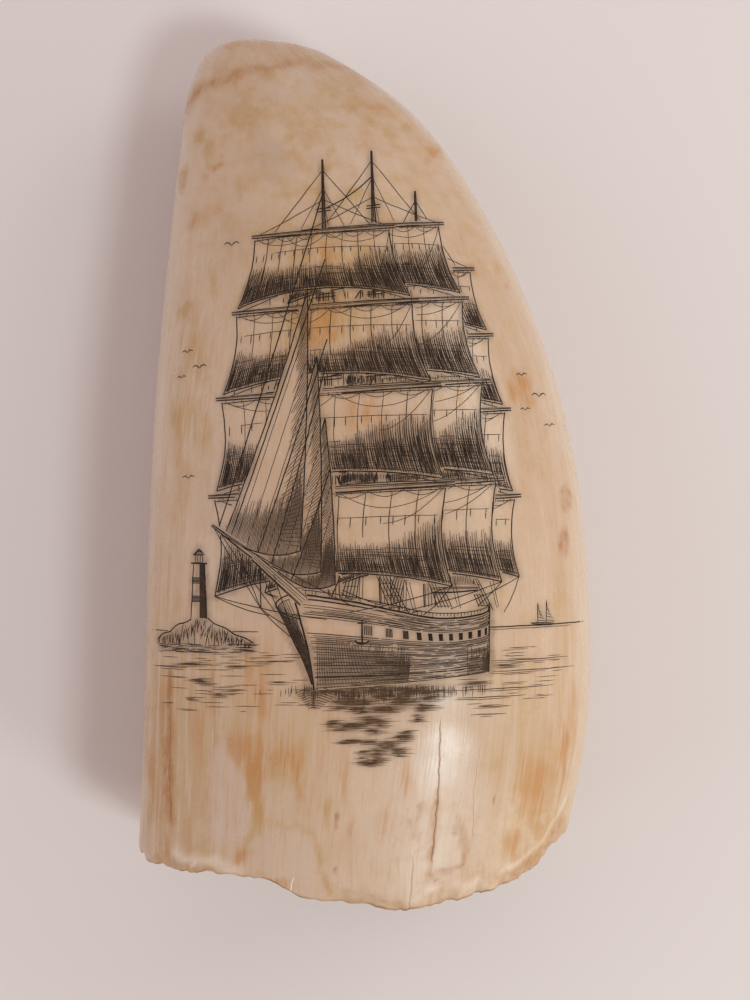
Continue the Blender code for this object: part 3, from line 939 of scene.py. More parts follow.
def draw_stays(picture):
    """Stays between the masts, braces from the yards, and the sheets and tacks of the lowest sails."""
    bow_stays = (
        (42.5, (32.5, 0, 12.4)),
        (36.5, (30.5, 0, 11.9)),
        (29.5, (26, 0, 10.6)),
        (27.8, (23.5, 0, 9.9)),
        (18.5, (20, 0, 8.6)),
    )
    main_stays = [(h, on_mast(FORE, end)) for h, end in ((46.5, 41), (38, 29.6), (28.6, 18))]
    mizzen_stays = [(h, on_mast(MAIN, end)) for h, end in ((41.5, 37), (34, 28.6), (26, 19))]
    for mast, depth, stays in (
        (FORE, 5, bow_stays),
        (MAIN, 26, (*main_stays, (19.8, (13, 0, 6.5)))),
        (MIZZEN, 46, mizzen_stays),
    ):
        for h, end in stays:
            picture.pen("rigging", depth)(ship_line(on_mast(mast, h), end, 0.35), LINE, 1.0, taper=0.05)
    for mast, other in ((FORE, MAIN), (MAIN, MIZZEN)):
        for tier in range(4):
            for side in (1, -1):
                pen = picture.pen("rigging", mast.depth + (1 if side < 0 else 9))
                end = on_mast(other, mast.yards[tier][0] - 2.0)
                pen(ship_line(yard_end(mast, tier, side, 1.0), end, 0.8), FINE, 0.8)
    for mast in (FORE, MAIN, MIZZEN):
        pen = picture.pen("rigging", mast.depth - 8)
        sail = SquareSail(mast, 0)
        for side in (1, -1):
            a, s, h = on_mast(mast, sail.foot_h, side * sail.half_foot * math.cos(BRACING))
            clew = (a + side * sail.half_foot * math.sin(BRACING) + 0.6, s, h)
            pen(ship_line(clew, (mast.a - 9.0, side * 4.6, 5.8), 0.2), THIN, 0.95)
            pen(ship_line(clew, (mast.a + 5.0, side * 3.6, 6.2), 0.2), THIN, 0.95)


def draw_jibs(picture):
    """The head sails, the outermost first, each set on its own stay: tack, head and clew as (a, h)."""
    dice = picture.dice
    t = np.linspace(0, 1, 16)

    def along(side, k):
        """A place on a side, counted in quarters of its steps."""
        step, part = divmod(k, 4)
        return side[step] + (side[step + 1] - side[step]) * part / 4

    for tack, head, clew, depth in (
        ((31.4, 12.1), (15.2, 33), (19.5, 11.2), 6.0),
        ((26.6, 10.9), (13.8, 27.6), (15.6, 9.6), 8.0),
        ((22.2, 9.6), (12.6, 22.5), (12.8, 8.6), 10.0),
    ):
        pen = picture.pen("sails", depth)
        corners = [np.array((a, -0.4 * k, h)) for k, (a, h) in enumerate((tack, head, clew))]

        def edge(first, last, bow_a, bow_h):
            bow = np.outer(4 * t * (1 - t), (bow_a, 0, bow_h))
            return first + np.outer(t, last - first) + bow

        luff = edge(corners[0], corners[1], -0.2, -0.5)
        leech = edge(corners[1], corners[2], -0.5, 0.0)
        foot = edge(corners[2], corners[0], 0.0, -0.8)
        picture.cover(np.concatenate([ship_view(part.T) for part in (luff, leech, foot)]), depth)
        for part in (luff, leech, foot):
            pen(ship_view(part.T), LINE, 1.0, taper=0.08)
        for row in range(1, 15, 2):
            pen(straight(foot[row], leech[15 - row], 10), FINE, 0.75, 0.05)
        for k in range(60):
            start = along(foot, k)
            reach = 0.12 + 0.16 * (1 - k / 59) ** 2 + dice.uniform(-0.03, 0.05)
            pen(straight(start, start + (corners[1] - start) * reach, 8), FINE, 0.8, 0.02, 0.5)
        for k in range(60):
            start = along(leech, k)
            reach = (0.1 + 0.22 * k / 59) * dice.uniform(0.6, 1.2)
            pen(straight(start, start + (corners[0] - start) * reach, 6), FINE, 0.75, 0.02, 0.5)


def draw_spanker(picture):
    """The fore-and-aft sail behind the mizzen mast."""
    pen = picture.pen("sails", 66)
    throat, peak = np.array(on_mast(MIZZEN, 17.5)) - (0.6, 0, 0), np.array((-19.5, -1, 22))
    clew, tack = np.array((-20.5, -1.4, 8.3)), np.array(on_mast(MIZZEN, 8.2)) - (0.6, 0, 0)
    corners = np.array([throat, peak, clew, tack])
    picture.cover(ship_view(corners.T), 66)
    for first, last in zip(corners, np.roll(corners, -1, axis=0)):
        pen(straight(first, last, 10), LINE, 1.0)
    for k in range(1, 26):
        low = tack + (clew - tack) * k / 26
        high = throat + (peak - throat) * k / 26
        pen(straight(low, low + (high - low) * 0.45, 8), FINE, 0.8)
    draw_spar(picture, throat, peak * 1.04, (0.2, 0.22, 0.1), 65.9, 2)
    draw_spar(picture, tack, clew + (-1.2, 0, 0), (0.2, 0.24, 0.12), 65.9, 2)


def on_hull(t, level, side=-1):
    """Points of the hull on the tooth: t from the stern to the stem, level from the water to the rail."""
    t, level = np.broadcast_arrays(np.asarray(t, float), np.asarray(level, float))
    rail = 5.4 + 2.4 * np.clip((t - 0.4) / 0.6, 0, 1) ** 2 + 1.0 * np.clip((0.4 - t) / 0.4, 0, 1) ** 2
    a = STERN + t * (16.2 + 3.4 * level**1.6 - STERN)
    entry, run = np.clip((t - 0.6) / 0.4, 0, 1), np.clip((0.22 - t) / 0.22, 0, 1)
    half = HALF_BEAM * (1 - entry ** (2.2 + 0.6 * level)) ** (1.05 - 0.3 * level) * (1 - 0.3 * run**2)
    half = half * (1 - (1 - level) * (0.1 + 0.25 * entry))
    return ship_view((a, side * half, rail * level))


def draw_hull(picture):
    """The hull with its planking, painted ports, rail and shadows."""
    dice = picture.dice
    depth = 14
    pen, far_pen = picture.pen("hull", depth), picture.pen("hull", depth + 0.5)
    t, level = np.linspace(0, 1, 40), np.linspace(0, 1, 10)
    rail, stem, stern = on_hull(t, 1), on_hull(1, level), on_hull(0, level)
    picture.cover(np.concatenate([rail, stem[::-1], on_hull(t, 0)[::-1], stern]), depth)
    picture.cover(np.concatenate([on_hull(t, 1, 1), stem[::-1], on_hull(t, 0, 1)[::-1]]), depth + 0.5)
    picture.cover(np.concatenate([stern, on_hull(0, level, 1)[::-1]]), depth + 0.4)
    pen(rail, BOLD, 1.0, taper=0.05)
    pen(stem, BOLD, 1.0, taper=0.05)
    pen(stern, LINE, 1.0, taper=0.05)
    far_pen(on_hull(t, 1, 1), LINE, 1.0, taper=0.05)
    for level in (0.96, 0.8, 0.775, 0.6, 0.575, 0.4, 0.26, 0.13, 0.02):
        for start, end in dashes(dice, 0.0, 0.99, (0.15, 0.6), (0, 0.02)):
            seam = on_hull(np.linspace(start, min(end, 0.995), 16), level)
            pen(seam, dice.choice((FINE, THIN)), 0.9, 0.03, 0.15)
        far_pen(on_hull(np.linspace(0.7, 1, 12), level, 1), THIN, 0.9, 0.03)
    bands = ((0.8, 0.96, 0.0185, 1), (0.42, 0.575, 0.0195, 1), (0.02, 0.4, 0.02, 0.95))
    for low, high, gap, load in bands:
        for level in np.arange(low, high, gap):
            for start, end in dashes(dice, dice.uniform(0.003, 0.1), 0.98, (0.05, 0.28), (0, 0.04)):
                if dice.random() < 0.85:
                    line = np.linspace(start, min(end, 0.992), 8)
                    pen(on_hull(line, level + dice.uniform(-0.006, 0.006)), FINE, load, 0.02, 0.3)
    for port in range(12):
        for k in range(5):
            line = on_hull(0.049 + 0.072 * port + 0.0055 * k, np.linspace(0.63, 0.745, 4))
            pen(line, THIN, 1.0, 0.01, 0.0)
    for k in range(70):
        at = 0.7 + 0.29 * k / 69
        line = np.linspace(0.03, 0.55 - 0.25 * dice.random() * (1 - k / 69), 8)
        pen(on_hull(at - 0.02 * line, line), FINE, 0.85, 0.02, 0.4)
        if k % 2:
            far_pen(on_hull(at, np.linspace(0.05, 0.95, 10), 1), FINE, 0.85, 0.02, 0.3)
    for k in range(30):
        pen(on_hull(0.3 * k / 29, np.linspace(0.02, 0.5 * dice.uniform(0.5, 1), 6)), FINE, 0.8, 0.02, 0.4)
    rail_pen = picture.pen("hull", depth + 0.05)
    for k in range(40):
        foot = on_hull(0.02 + 0.95 * k / 39, 1)
        rail_pen([foot, foot + (0, 0.75)], FINE, 0.9, 0.01, 0.0)
    rail_pen(rail + (0, 0.75), THIN, 1.0)


def draw_bowsprit(picture):
    """The bowsprit with its stays, and an anchor on the bow."""
    draw_spar(picture, (17.5, 0, 7.2), (26.5, 0, 10.6), (0.45, 0.4, 0.3), 4, 3)
    draw_spar(picture, (24, 0, 9.9), (33.5, 0, 12.8), (0.24, 0.2, 0.08), 4.1, 2)
    striker = (25.5, 0, 6.6)
    picture.pen("rigging", 4)(ship_line((25.5, 0, 10), striker), LINE, 1.0)
    pen = picture.pen("rigging", 4)
    for start, end in (
        ((33, 0, 12.5), striker),
        ((29.5, 0, 11.5), striker),
        (striker, (19.3, -0.6, 4.6)),
        (striker, (19, 0.6, 4.4)),
        ((26, 0, 10.2), (17.2, 0, 1.6)),
        ((23, 0, 9.3), (16.9, 0, 0.9)),
        ((32, 0, 12.2), (15.5, -3.6, 6.6)),
        ((32, 0, 12.2), (15.5, 3.6, 6.6)),
    ):
        pen(ship_line(start, end, 0.1), THIN, 1.0)
    pen = picture.pen("hull", 3)
    anchor = ship_view((14.8, -3.9, 4.6))
    t = np.linspace(-1.1, 1.1, 12)
    pen([anchor + (0, 1.6), anchor - (0, 1.9)], BOLD, 1.0)
    pen(anchor + np.stack([1.2 * np.sin(t), 0.88 * (1 - np.cos(t)) - 1.9], axis=-1), BOLD, 1.0)
    pen([anchor + (-0.7, 1.2), anchor + (0.7, 1.35)], LINE, 1.0)


def level_line(start_x, end_x, y):
    """A line along the water, which lies a little askew on the tooth."""
    x = np.linspace(start_x, end_x, 40)
    return np.stack([x, y + WATER_TILT * x], axis=-1)


def ripple(picture, x, y, half, rows):
    """A lens of fine level strokes, longest in the middle: one broken piece of a reflection."""
    dice = picture.dice
    pen = picture.pen("sea", 80)
    middle = 0.0
    for row in range(rows):
        at = 2 * (row + 0.5) / rows - 1
        reach = half * math.sqrt(1 - 0.9 * at * at)
        middle += dice.uniform(-0.2, 0.2) * half
        level = y - 0.21 * row + dice.uniform(-0.04, 0.04)
        ends = (x + middle - reach * dice.uniform(0.5, 1.1), x + middle + reach * dice.uniform(0.6, 1.3))
        pen(level_line(*ends, level), FINE, dice.uniform(0.25, 0.62), 0.02, 0.95)
        if abs(at) < 0.6:
            core = reach * dice.uniform(0.25, 0.6)
            pen(level_line(x + middle - core, x + middle + 0.7 * core, level + 0.08), FINE, 0.7, 0.02, 0.9)


def draw_sea(picture):
    """The horizon, the level strokes of the water, the hull's reflection and the bow wave."""
    dice = picture.dice
    far_pen, pen, wave_pen = (picture.pen("sea", depth) for depth in (90, 80, 2))
    far_pen(level_line(-6, 34.2, HORIZON), LINE, 0.9, 0.03, 0.05)
    far_pen(level_line(8, 32.0, HORIZON - 0.35), FINE, 0.7, 0.05, 0.3)
    far_pen(level_line(-33.0, -16, HORIZON), THIN, 0.8, 0.03, 0.2)
    for _ in range(70):
        down = 13.0 * dice.random() ** 1.4
        spread = 9.5 - 0.5 * down
        x = SHIP_PLACE[0] - 1.0 + dice.uniform(-1, 1) * spread
        half = dice.uniform(1.6, 4.6) * (1 - 0.03 * down)
        ripple(picture, x, SHIP_PLACE[1] - down, half, dice.randint(2, 6))
    for x, y, half, rows in (
        (-24.5, -33, 2.6, 6), (-22, -35.2, 2, 4), (-26.5, -36, 1.6, 3), (-25.4, -30.6, 4.5, 4),
        (-19.5, -31, 2.2, 3), (17.5, -34, 3.5, 4), (21.5, -31.6, 2.5, 3), (19, -37.6, 2.8, 3),
        (-13, -33.4, 2.4, 3),
    ):
        ripple(picture, x, y, half, rows)
    for start, end, y in (
        (15, 31.5, -31), (17.5, 32.5, -32.6), (15.5, 29, -35.2), (14, 24.5, -36.4),
        (-33, -27, -31.4), (-18, -11.5, -30.4), (16, 21.5, -39),
    ):
        pen(level_line(start, end, y), THIN, 0.7, 0.05, 0.6)
        pen(level_line(start + 1.5, end - dice.uniform(1, 5), y - 0.3), FINE, 0.55, 0.05, 0.6)
    for _ in range(170):
        x, y = dice.uniform(-31, 30), -29.0 - 9.0 * dice.random() ** 1.5
        half = dice.uniform(0.5, 2.2)
        pen(level_line(x - half, x + half, y), FINE, dice.uniform(0.35, 0.7), 0.02, 0.8)
    for _ in range(300):
        x = SHIP_PLACE[0] + dice.gauss(-1, 6.5)
        top = SHIP_PLACE[1] - abs(dice.gauss(0.2, 0.5)) - 0.4
        pen([(x, top), (x + dice.uniform(-0.1, 0.1), top - dice.uniform(0.5, 1.8))], FINE, 0.75, 0.02, 0.6)
    stem = on_hull(1, 0)
    t = np.linspace(0, 1, 14)
    for k in range(9):
        reach, rise = 4.2 - 0.35 * k, (1.5 - 0.16 * k) * np.sin(math.pi * t) * (1 - t)
        for offset, spread in ((-0.4, reach), (0.2, -0.7 * reach)):
            wave_pen(stem + np.stack([offset + spread * t, rise - 0.5 - 0.28 * k], axis=-1), FINE, 0.85)


def draw_islet(picture):
    """A low rocky islet with a lighthouse, on the left."""
    dice = picture.dice
    base = HORIZON - 2.3
    pen = picture.pen("shore", 75)
    heights = (
        (-32.2, 0.3), (-31, 1.3), (-30, 1.5), (-28.6, 2.8), (-27.2, 3.3), (-26, 4),
        (-24, 4), (-22.6, 3), (-21, 2.6), (-19.6, 1.5), (-18.2, 1.1), (-16.6, 0.2),
    )
    ridge = np.array(heights) + (0, base)
    picture.cover(np.concatenate([ridge, [(-16.6, base - 0.5), (-32.2, base - 0.5)]]), 75)
    pen(ridge, LINE, 1.0, 0.12, 0.1)
    for x in np.repeat(np.arange(-31.6, -17.0, 0.26), 2):
        start = base + (np.interp(x, *ridge.T) - base) * dice.uniform(0.35, 0.95)
        end = max(start - dice.uniform(0.5, 2.2), base - 0.3)
        pen([(x, start), (x + dice.uniform(-0.5, 0.3), end)], dice.choice((FINE, THIN)), 0.9, 0.03, 0.4)
    shore_pen = picture.pen("shore", 74)
    for _ in range(60):
        x = dice.uniform(-32, -17)
        line = level_line(x, x + dice.uniform(0.8, 2.5), base + dice.uniform(-1.0, 0.5))
        shore_pen(line, FINE, 0.9, 0.02, 0.4)
    draw_lighthouse(picture, -25.2, base + 3.8)


def draw_lighthouse(picture, x, foot):
    """A striped tower with its gallery and lantern."""
    pen = picture.pen("shore", 73)
    top = foot + 8.4
    wall = np.array([(x - 1.25, foot), (x - 0.85, top), (x + 0.85, top), (x + 1.25, foot)])
    picture.cover(wall, 73)
    pen(wall[:2], LINE, 1.0)
    pen(wall[2:], BOLD, 1.0)
    for k in range(14):
        share = 0.15 + 0.85 * k / 13
        pen([(x + 1.2 * share, foot + 0.1), (x + 0.82 * share, top)], FINE, 0.85, 0.01, 0.2)
    for band in (foot + 2.6, foot + 5.4):
        for k in range(5):
            pen([(x - 1.1, band + 0.2 * k), (x + 1.1, band + 0.2 * k)], THIN, 1.0, 0.01, 0.0)
    pen([(x - 1.3, top), (x + 1.3, top)], BOLD, 1.0)
    for k in range(4):
        pen([(x - 0.6 + 0.4 * k, top), (x - 0.6 + 0.4 * k, top + 1.3)], THIN, 1.0)
    pen([(x - 0.9, top + 1.3), (x, top + 2.2), (x + 0.9, top + 1.3), (x - 0.9, top + 1.3)], LINE, 1.0)
    for k in range(5):
        pen([(x - 0.7 + 0.3 * k, top + 1.4), (x - 0.1 + 0.05 * k, top + 2.0)], THIN, 1.0)


def draw_schooner(picture, x):
    """A small schooner far off on the horizon."""
    pen = picture.pen("shore", 88)
    y = HORIZON + WATER_TILT * x
    for mast_x, tall in ((x - 0.7, 3.4), (x + 0.7, 3.8)):
        pen([(mast_x, y + 0.3), (mast_x, y + tall)], THIN, 1.0)
        for k in range(6):
            low = (mast_x + 0.1, y + 0.7 + 0.2 * k * (tall - 1.0))
            pen([low, (mast_x + 1.35 - 0.24 * k, y + 0.6 + 0.14 * k * (tall - 1.0))], FINE, 0.9)
    for k in range(3):
        pen([(x - 1.8 + 0.15 * k, y + 0.35 - 0.18 * k), (x + 2.0 - 0.2 * k, y + 0.3 - 0.18 * k)], THIN, 1.0)


def draw_gulls(picture):
    """Gulls on the wing: X, Y and half span."""
    pen = picture.pen("gulls", 1)
    t = np.linspace(0, 1, 8)
    for x, y, span in (
        (-20.5, 33, 1.2), (-27.4, 16.5, 0.9), (-25.4, 14, 1.1), (-28.3, 12.6, 0.7), (24.4, 13, 0.9),
        (27.2, 9.8, 1.2), (24.9, 7.6, 0.8), (28.9, 5.2, 0.9), (-27, -3, 1),
    ):
        for side in (-1, 1):
            rise = span * (0.55 * np.sin(0.8 * math.pi * t) - 0.1 * t) + side * 0.08 * t
            pen(np.stack([x + side * span * t, y + rise], axis=-1), LINE, 0.95, 0.02, 0.5)


@functools.lru_cache
def engraved_picture(seed):
    """Every visible stroke of the picture."""
    picture = Picture(seed)
    draw_jibs(picture)
    draw_stays(picture)
    for mast, dark_side in ((FORE, -1), (MAIN, -1), (MIZZEN, 1)):
        draw_mast(picture, mast, dark_side)
    draw_spanker(picture)
    draw_hull(picture)
    draw_bowsprit(picture)
    draw_sea(picture)
    draw_islet(picture)
    draw_schooner(picture, 27.2)
    draw_gulls(picture)
    return picture.visible()


# ---------------------------------------------------------------- node trees


class Graph:
    """Adds nodes to a shader or geometry tree and links them."""

    def __init__(self, tree):
        self.tree = tree

    def give(self, socket, value):
        """Links another socket to this one, or sets its value."""
        if isinstance(value, bpy.types.NodeSocket):
            self.tree.links.new(value, socket)
        else:
            socket.default_value = value

    def node(self, kind, inputs=(), **settings):
        node = self.tree.nodes.new(kind)
        for name, value in settings.items():
            setattr(node, name, value)
        for key, value in dict(inputs).items():
            self.give(node.inputs[key], value)
        return node

    def math(self, operation, *values, **settings):
        return self.node("ShaderNodeMath", enumerate(values), operation=operation, **settings).outputs[0]

    def times(self, *values):
        """The product of two or more values."""
        return functools.reduce(functools.partial(self.math, "MULTIPLY"), values)

    def plus(self, *values):
        """The sum of two or more values."""
        return functools.reduce(functools.partial(self.math, "ADD"), values)

    def minus(self, value, other):
        return self.math("SUBTRACT", value, other)

    def vector(self, operation, *values):
        return self.node("ShaderNodeVectorMath", enumerate(values), operation=operation).outputs[0]

    def combined(self, *parts):
        """A vector of up to three values."""
        return self.node("ShaderNodeCombineXYZ", enumerate(parts)).outputs[0]

    def scaled(self, vector, value):
        """A vector times a value."""
        return self.node("ShaderNodeVectorMath", {0: vector, "Scale": value}, operation="SCALE").outputs[0]

    def step(self, value, low, high):
        """0 below low, 1 above high, and a smooth rise between."""
        inputs = {"Value": value, "From Min": low, "From Max": high}
        return self.node("ShaderNodeMapRange", inputs, interpolation_type="SMOOTHSTEP").outputs[0]

    def blend(self, factor, under, over):
        """One colour laid over another."""
        inputs = {0: factor, 6: rgba(under), 7: rgba(over)}
        return self.node("ShaderNodeMix", inputs, data_type="RGBA").outputs[2]

    def lerp(self, factor, low, high):
        """A value between two."""
        return self.node("ShaderNodeMix", {0: factor, 2: low, 3: high}).outputs[0]

    def noise(self, vector, scale, detail, **inputs):
        """Smooth noise whose mean is one half."""
        wanted = {"Vector": vector, "Scale": scale, "Detail": detail, **inputs}
        dimensions = "4D" if "W" in inputs else "3D"
        return self.node("ShaderNodeTexNoise", wanted, noise_dimensions=dimensions).outputs[0]

    def mark(self, name, output="Fac"):
        """A mark of the mesh, in a shader."""
        return self.node("ShaderNodeAttribute", attribute_name=name).outputs[output]

    def attribute(self, name, data_type="FLOAT"):
        """A mark of the mesh, in a geometry tree."""
        return self.node("GeometryNodeInputNamedAttribute", {"Name": name}, data_type=data_type).outputs[0]

    def geometry(self, kind, geometry, inputs=(), **settings):
        """What a geometry node makes of a geometry."""
        return self.node("GeometryNode" + kind, {0: geometry, **dict(inputs)}, **settings).outputs[0]

    def group(self, build, **inputs):
        """The output of a shared shader group, with its inputs by name."""
        node = self.tree.nodes.new("ShaderNodeGroup")
        node.node_tree = build()
        for name, value in inputs.items():
            self.give(node.inputs[name.title()], value)
        return node.outputs[0]


def rgba(colour):
    """A colour for a socket: three numbers get their alpha, and a link stays as it is."""
    return colour if isinstance(colour, bpy.types.NodeSocket) else (*colour, 1.0)


def new_group(name, kind, inputs, output):
    """A node group's graph, inputs and output. A number makes a Float input with that default."""
    tree = bpy.data.node_groups.new(name, kind)
    for label, given in inputs.items():
        socket_type = given if isinstance(given, str) else "Float"
        socket = tree.interface.new_socket(label, in_out="INPUT", socket_type="NodeSocket" + socket_type)
        if given is not socket_type:
            socket.default_value = given
    label, socket_type = output
    tree.interface.new_socket(label, in_out="OUTPUT", socket_type="NodeSocket" + socket_type)
    graph = Graph(tree)
    return graph, graph.node("NodeGroupInput").outputs, graph.node("NodeGroupOutput").inputs[0]


def shared_group(build):
    """Builds a node group once and gives the same one after that."""

    @functools.wraps(build)
    def once():
        return bpy.data.node_groups.get(build.__name__) or build(build.__name__)

    return once


@shared_group
def lengthwise_grain(name):
    """Streaks along Y: Width and Length are in the units of Vector, and Low and High trim the contrast."""
    inputs = {"Vector": "Vector", "Width": 1.0, "Length": 20.0, "Low": 0.3, "High": 0.7}
    graph, given, result = new_group(name, "ShaderNodeTree", inputs, ("Streaks", "Float"))
    sizes = graph.combined(given["Width"], given["Length"], given["Width"])
    streaks = graph.noise(graph.vector("DIVIDE", given["Vector"], sizes), 1.0, 3.0, Roughness=0.6)
    graph.give(result, graph.step(streaks, given["Low"], given["High"]))
    return graph.tree


@shared_group
def mottling(name):
    """Round patches: Size is in the units of Vector, and Low and High trim the contrast."""
    inputs = {"Vector": "Vector", "Size": 1.0, "Low": 0.4, "High": 0.6, "Detail": 4.0}
    graph, given, result = new_group(name, "ShaderNodeTree", inputs, ("Mask", "Float"))
    scale = graph.math("DIVIDE", 1.0, given["Size"])
    patches = graph.noise(given["Vector"], scale, given["Detail"], Roughness=0.6)
    graph.give(result, graph.step(patches, given["Low"], given["High"]))
    return graph.tree


@shared_group
def ragged_patch(name):
    """A patch from a field that is one half on its edge, with the edge made uneven."""
    inputs = {"Vector": "Vector", "Field": 0.0, "Raggedness": 0.1}
    graph, given, result = new_group(name, "ShaderNodeTree", inputs, ("Mask", "Float"))
    uneven = graph.minus(graph.noise(given["Vector"], 0.9, 3.0), 0.5)
    field = graph.plus(given["Field"], graph.times(uneven, given["Raggedness"]))
    graph.give(result, graph.step(field, 0.15, 0.85))
    return graph.tree


def new_material(name):
    """A material with its graph and its Principled BSDF."""
    material = bpy.data.materials.new(name)
    material.use_nodes = True
    return material, Graph(material.node_tree), material.node_tree.nodes["Principled BSDF"]


class IvoryLayers(Graph):
    """The ivory's colours, laid one over another, and the grain and mottling that they share."""

    def __init__(self, tree, look):
        super().__init__(tree)
        self.look, self.colour = look, look.ivory
        self.grain = self.mark("grain", "Vector")
        self.lying = self.vector("MULTIPLY", self.grain, (0.45, 1, 0.45))
        self.tip, self.face, self.broken = self.mark("tip"), self.mark("face"), self.mark("broken")
        self.flank, self.cavity, self.smeared = self.mark("flank"), self.mark("cavity"), self.mark("smeared")
        self.plain_grain = self.lerp(self.tip, 1.0, 0.3)
        self.wide = self.times(self.streaks(width=3.2, length=45.0), self.plain_grain)
        curdled = self.patches(place=self.lying, size=1.6, low=0.35, high=0.65)
        self.narrow = self.lerp(self.tip, self.streaks(width=1.3, length=18.0), curdled)
        self.golden = self.times(self.streaks(width=0.6, length=13.0, low=0.5, high=0.66), self.plain_grain)
        self.clouds = self.patches(size=11.0, low=0.35, high=0.65)
        self.blotches = self.patches(size=4.2, low=0.42, high=0.7)
        self.freckles = self.patches(size=1.6, low=0.42, high=0.66)

    def streaks(self, **sizes):
        return self.group(lengthwise_grain, vector=self.grain, **sizes)

    def patches(self, place=None, **sizes):
        return self.group(mottling, vector=place or self.grain, **sizes)

    def stain(self, name, roughened, strength):
        """A stain's mark with its edge broken up, from a mask that averages one half."""
        torn = self.times(self.mark(name), self.plus(roughened, 0.5))
        return self.times(self.step(torn, 0.03, 0.85), strength)

    def lay(self, over, *masks):
        """Lays a colour over what is there, as far as all of its masks let it."""
        self.colour = self.blend(self.times(*masks), self.colour, over)

    def lay_ground(self):
        """The ground, with its clouds and the mottling of the tip."""
        look, lay, tip = self.look, self.lay, self.tip
        clots = self.patches(place=self.lying, size=3.3, low=0.49, high=0.64)
        curds = self.patches(place=self.lying, size=5.5, low=0.45, high=0.65)
        lay(look.cream, self.wide, 0.5)
        lay(look.blush, self.clouds, 0.45)
        lay(look.ochre, self.blotches, self.lerp(self.narrow, 0.3, 1.0), 0.4)
        lay(look.ochre, clots, tip, 0.6)
        lay(look.orange, self.blotches, tip, 0.3)
        lay(look.cream, curds, tip, 0.45)

    def lay_stains(self):
        """Broad stains, the streaks over them, and the stains that have torn edges."""
        look, lay, lerp, stain, ochre = self.look, self.lay, self.lerp, self.stain, self.mark("ochre")
        silver = self.times(self.streaks(width=0.85, length=22.0, low=0.52, high=0.66), self.plain_grain)
        # Pale stains, with painted bounce light along the left edge and painted sheen on the rim's lip.
        lay(look.cream, stain("pale_stain", self.narrow, 0.7))
        lay(look.grey, stain("grey", self.clouds, 0.65))
        # Painted bounce light: the sides of the face laid paler, as if lit by light bounced off the floor.
        lay(look.edge, self.flank, lerp(self.wide, 0.6, 0.95))
        lay(look.ochre, stain("ochre", lerp(0.55, self.blotches, self.narrow), 0.85))
        lay(look.orange, self.golden, lerp(ochre, 0.12, 0.6))
        lay(look.cream, silver, lerp(ochre, 0.15, 0.6))
        lay(look.orange, self.patches(size=1.8, low=0.5, high=0.66), self.smeared, 0.2)
        lay(look.cream, self.patches(size=2.2, low=0.45, high=0.7), self.smeared, 0.45)
        lay(look.orange, stain("orange", lerp(self.golden, lerp(self.narrow, 0.0, 0.75), 1.0), 0.9))
        lay(look.band, self.mark("brown"), lerp(self.freckles, 0.5, 1.05))

    def lay_patches_and_lines(self):
        """Pale patches with yellow outlines, spots, hairlines, the painted highlights on the rim's pale
        strips and rubbed ink.
        """
        look, lay, lerp, mark, freckles = self.look, self.lay, self.lerp, self.mark, self.freckles
        ragged = self.group(ragged_patch, vector=self.grain, field=mark("patch"), raggedness=0.7)
        calm = self.times(lerp(mark("pale_stain"), 1.0, 0.45), lerp(self.wide, 0.65, 0.92))
        hairlines = self.streaks(width=0.16, length=30.0, low=0.6, high=0.72)
        pale_lines = self.streaks(width=0.22, length=60.0, low=0.62, high=0.7)
        lay(look.lavender, ragged, calm, lerp(self.golden, 1.0, 0.35), lerp(self.clouds, 1.0, 0.75))
        lay(look.ochre, mark("yellow"), lerp(self.blotches, 0.55, 1.0))
        lay(look.spot, self.step(mark("spot"), 0.15, 0.8), lerp(freckles, 0.4, 1.0), 0.85)
        lay(look.orange, hairlines, self.plain_grain, 0.4)
        lay(look.lavender, pale_lines, self.face, self.plain_grain, 0.35)
        # Painted highlight: the gleaming ridges of the rim and the glint on a chip at its lower left.
        lay(look.fresh, mark("pale_line"), lerp(freckles, 0.75, 1.0), 0.32)
        lay(look.ink_stain, mark("ink"), lerp(freckles, 0.75, 1.0), look.ink_smear)

    def lay_breaks(self):
        """The broken rim, the pulp cavity and the cracks."""
        look, crack = self.look, self.mark("crack")
        chalk = self.blend(self.patches(size=1.6, low=0.4, high=0.7), look.broken, look.broken_dark)
        pulp = self.blend(self.patches(size=1.7, low=0.3, high=0.75), look.cavity, look.cavity_dark)
        self.lay(chalk, self.broken, self.lerp(self.face, 0.7, 0.35))
        self.lay(pulp, self.cavity)
        # The crack colour also darkens the rim's outer edge.
        self.lay(look.crack, self.step(crack, 0.05, 0.85))
        self.lay(look.fresh, self.step(crack, -0.2, -0.9))

    def roughness(self):
        """The polish, which the rim, the cavity and the smeared ivory lack."""
        dull = self.times(self.math("MAXIMUM", self.broken, self.times(self.smeared, self.smeared)), 0.13)
        polished = self.lerp(self.clouds, self.look.polish, self.look.polish + 0.08)
        return self.math("ADD", self.plus(polished, dull), self.times(self.cavity, 0.3), use_clamp=True)

    def height(self):
        """The finest relief: scratches and freckles on the face, and crumbs on the rim."""
        scratches = self.streaks(width=0.3, length=14.0, low=0.3, high=0.7)
        scraped = self.plus(self.times(scratches, 0.42), self.times(self.freckles, 0.2))
        crumbled = self.times(self.broken, self.patches(size=0.7, low=0.3, high=0.7), 0.6)
        return self.plus(self.times(scraped, self.minus(1.0, self.flank)), crumbled)


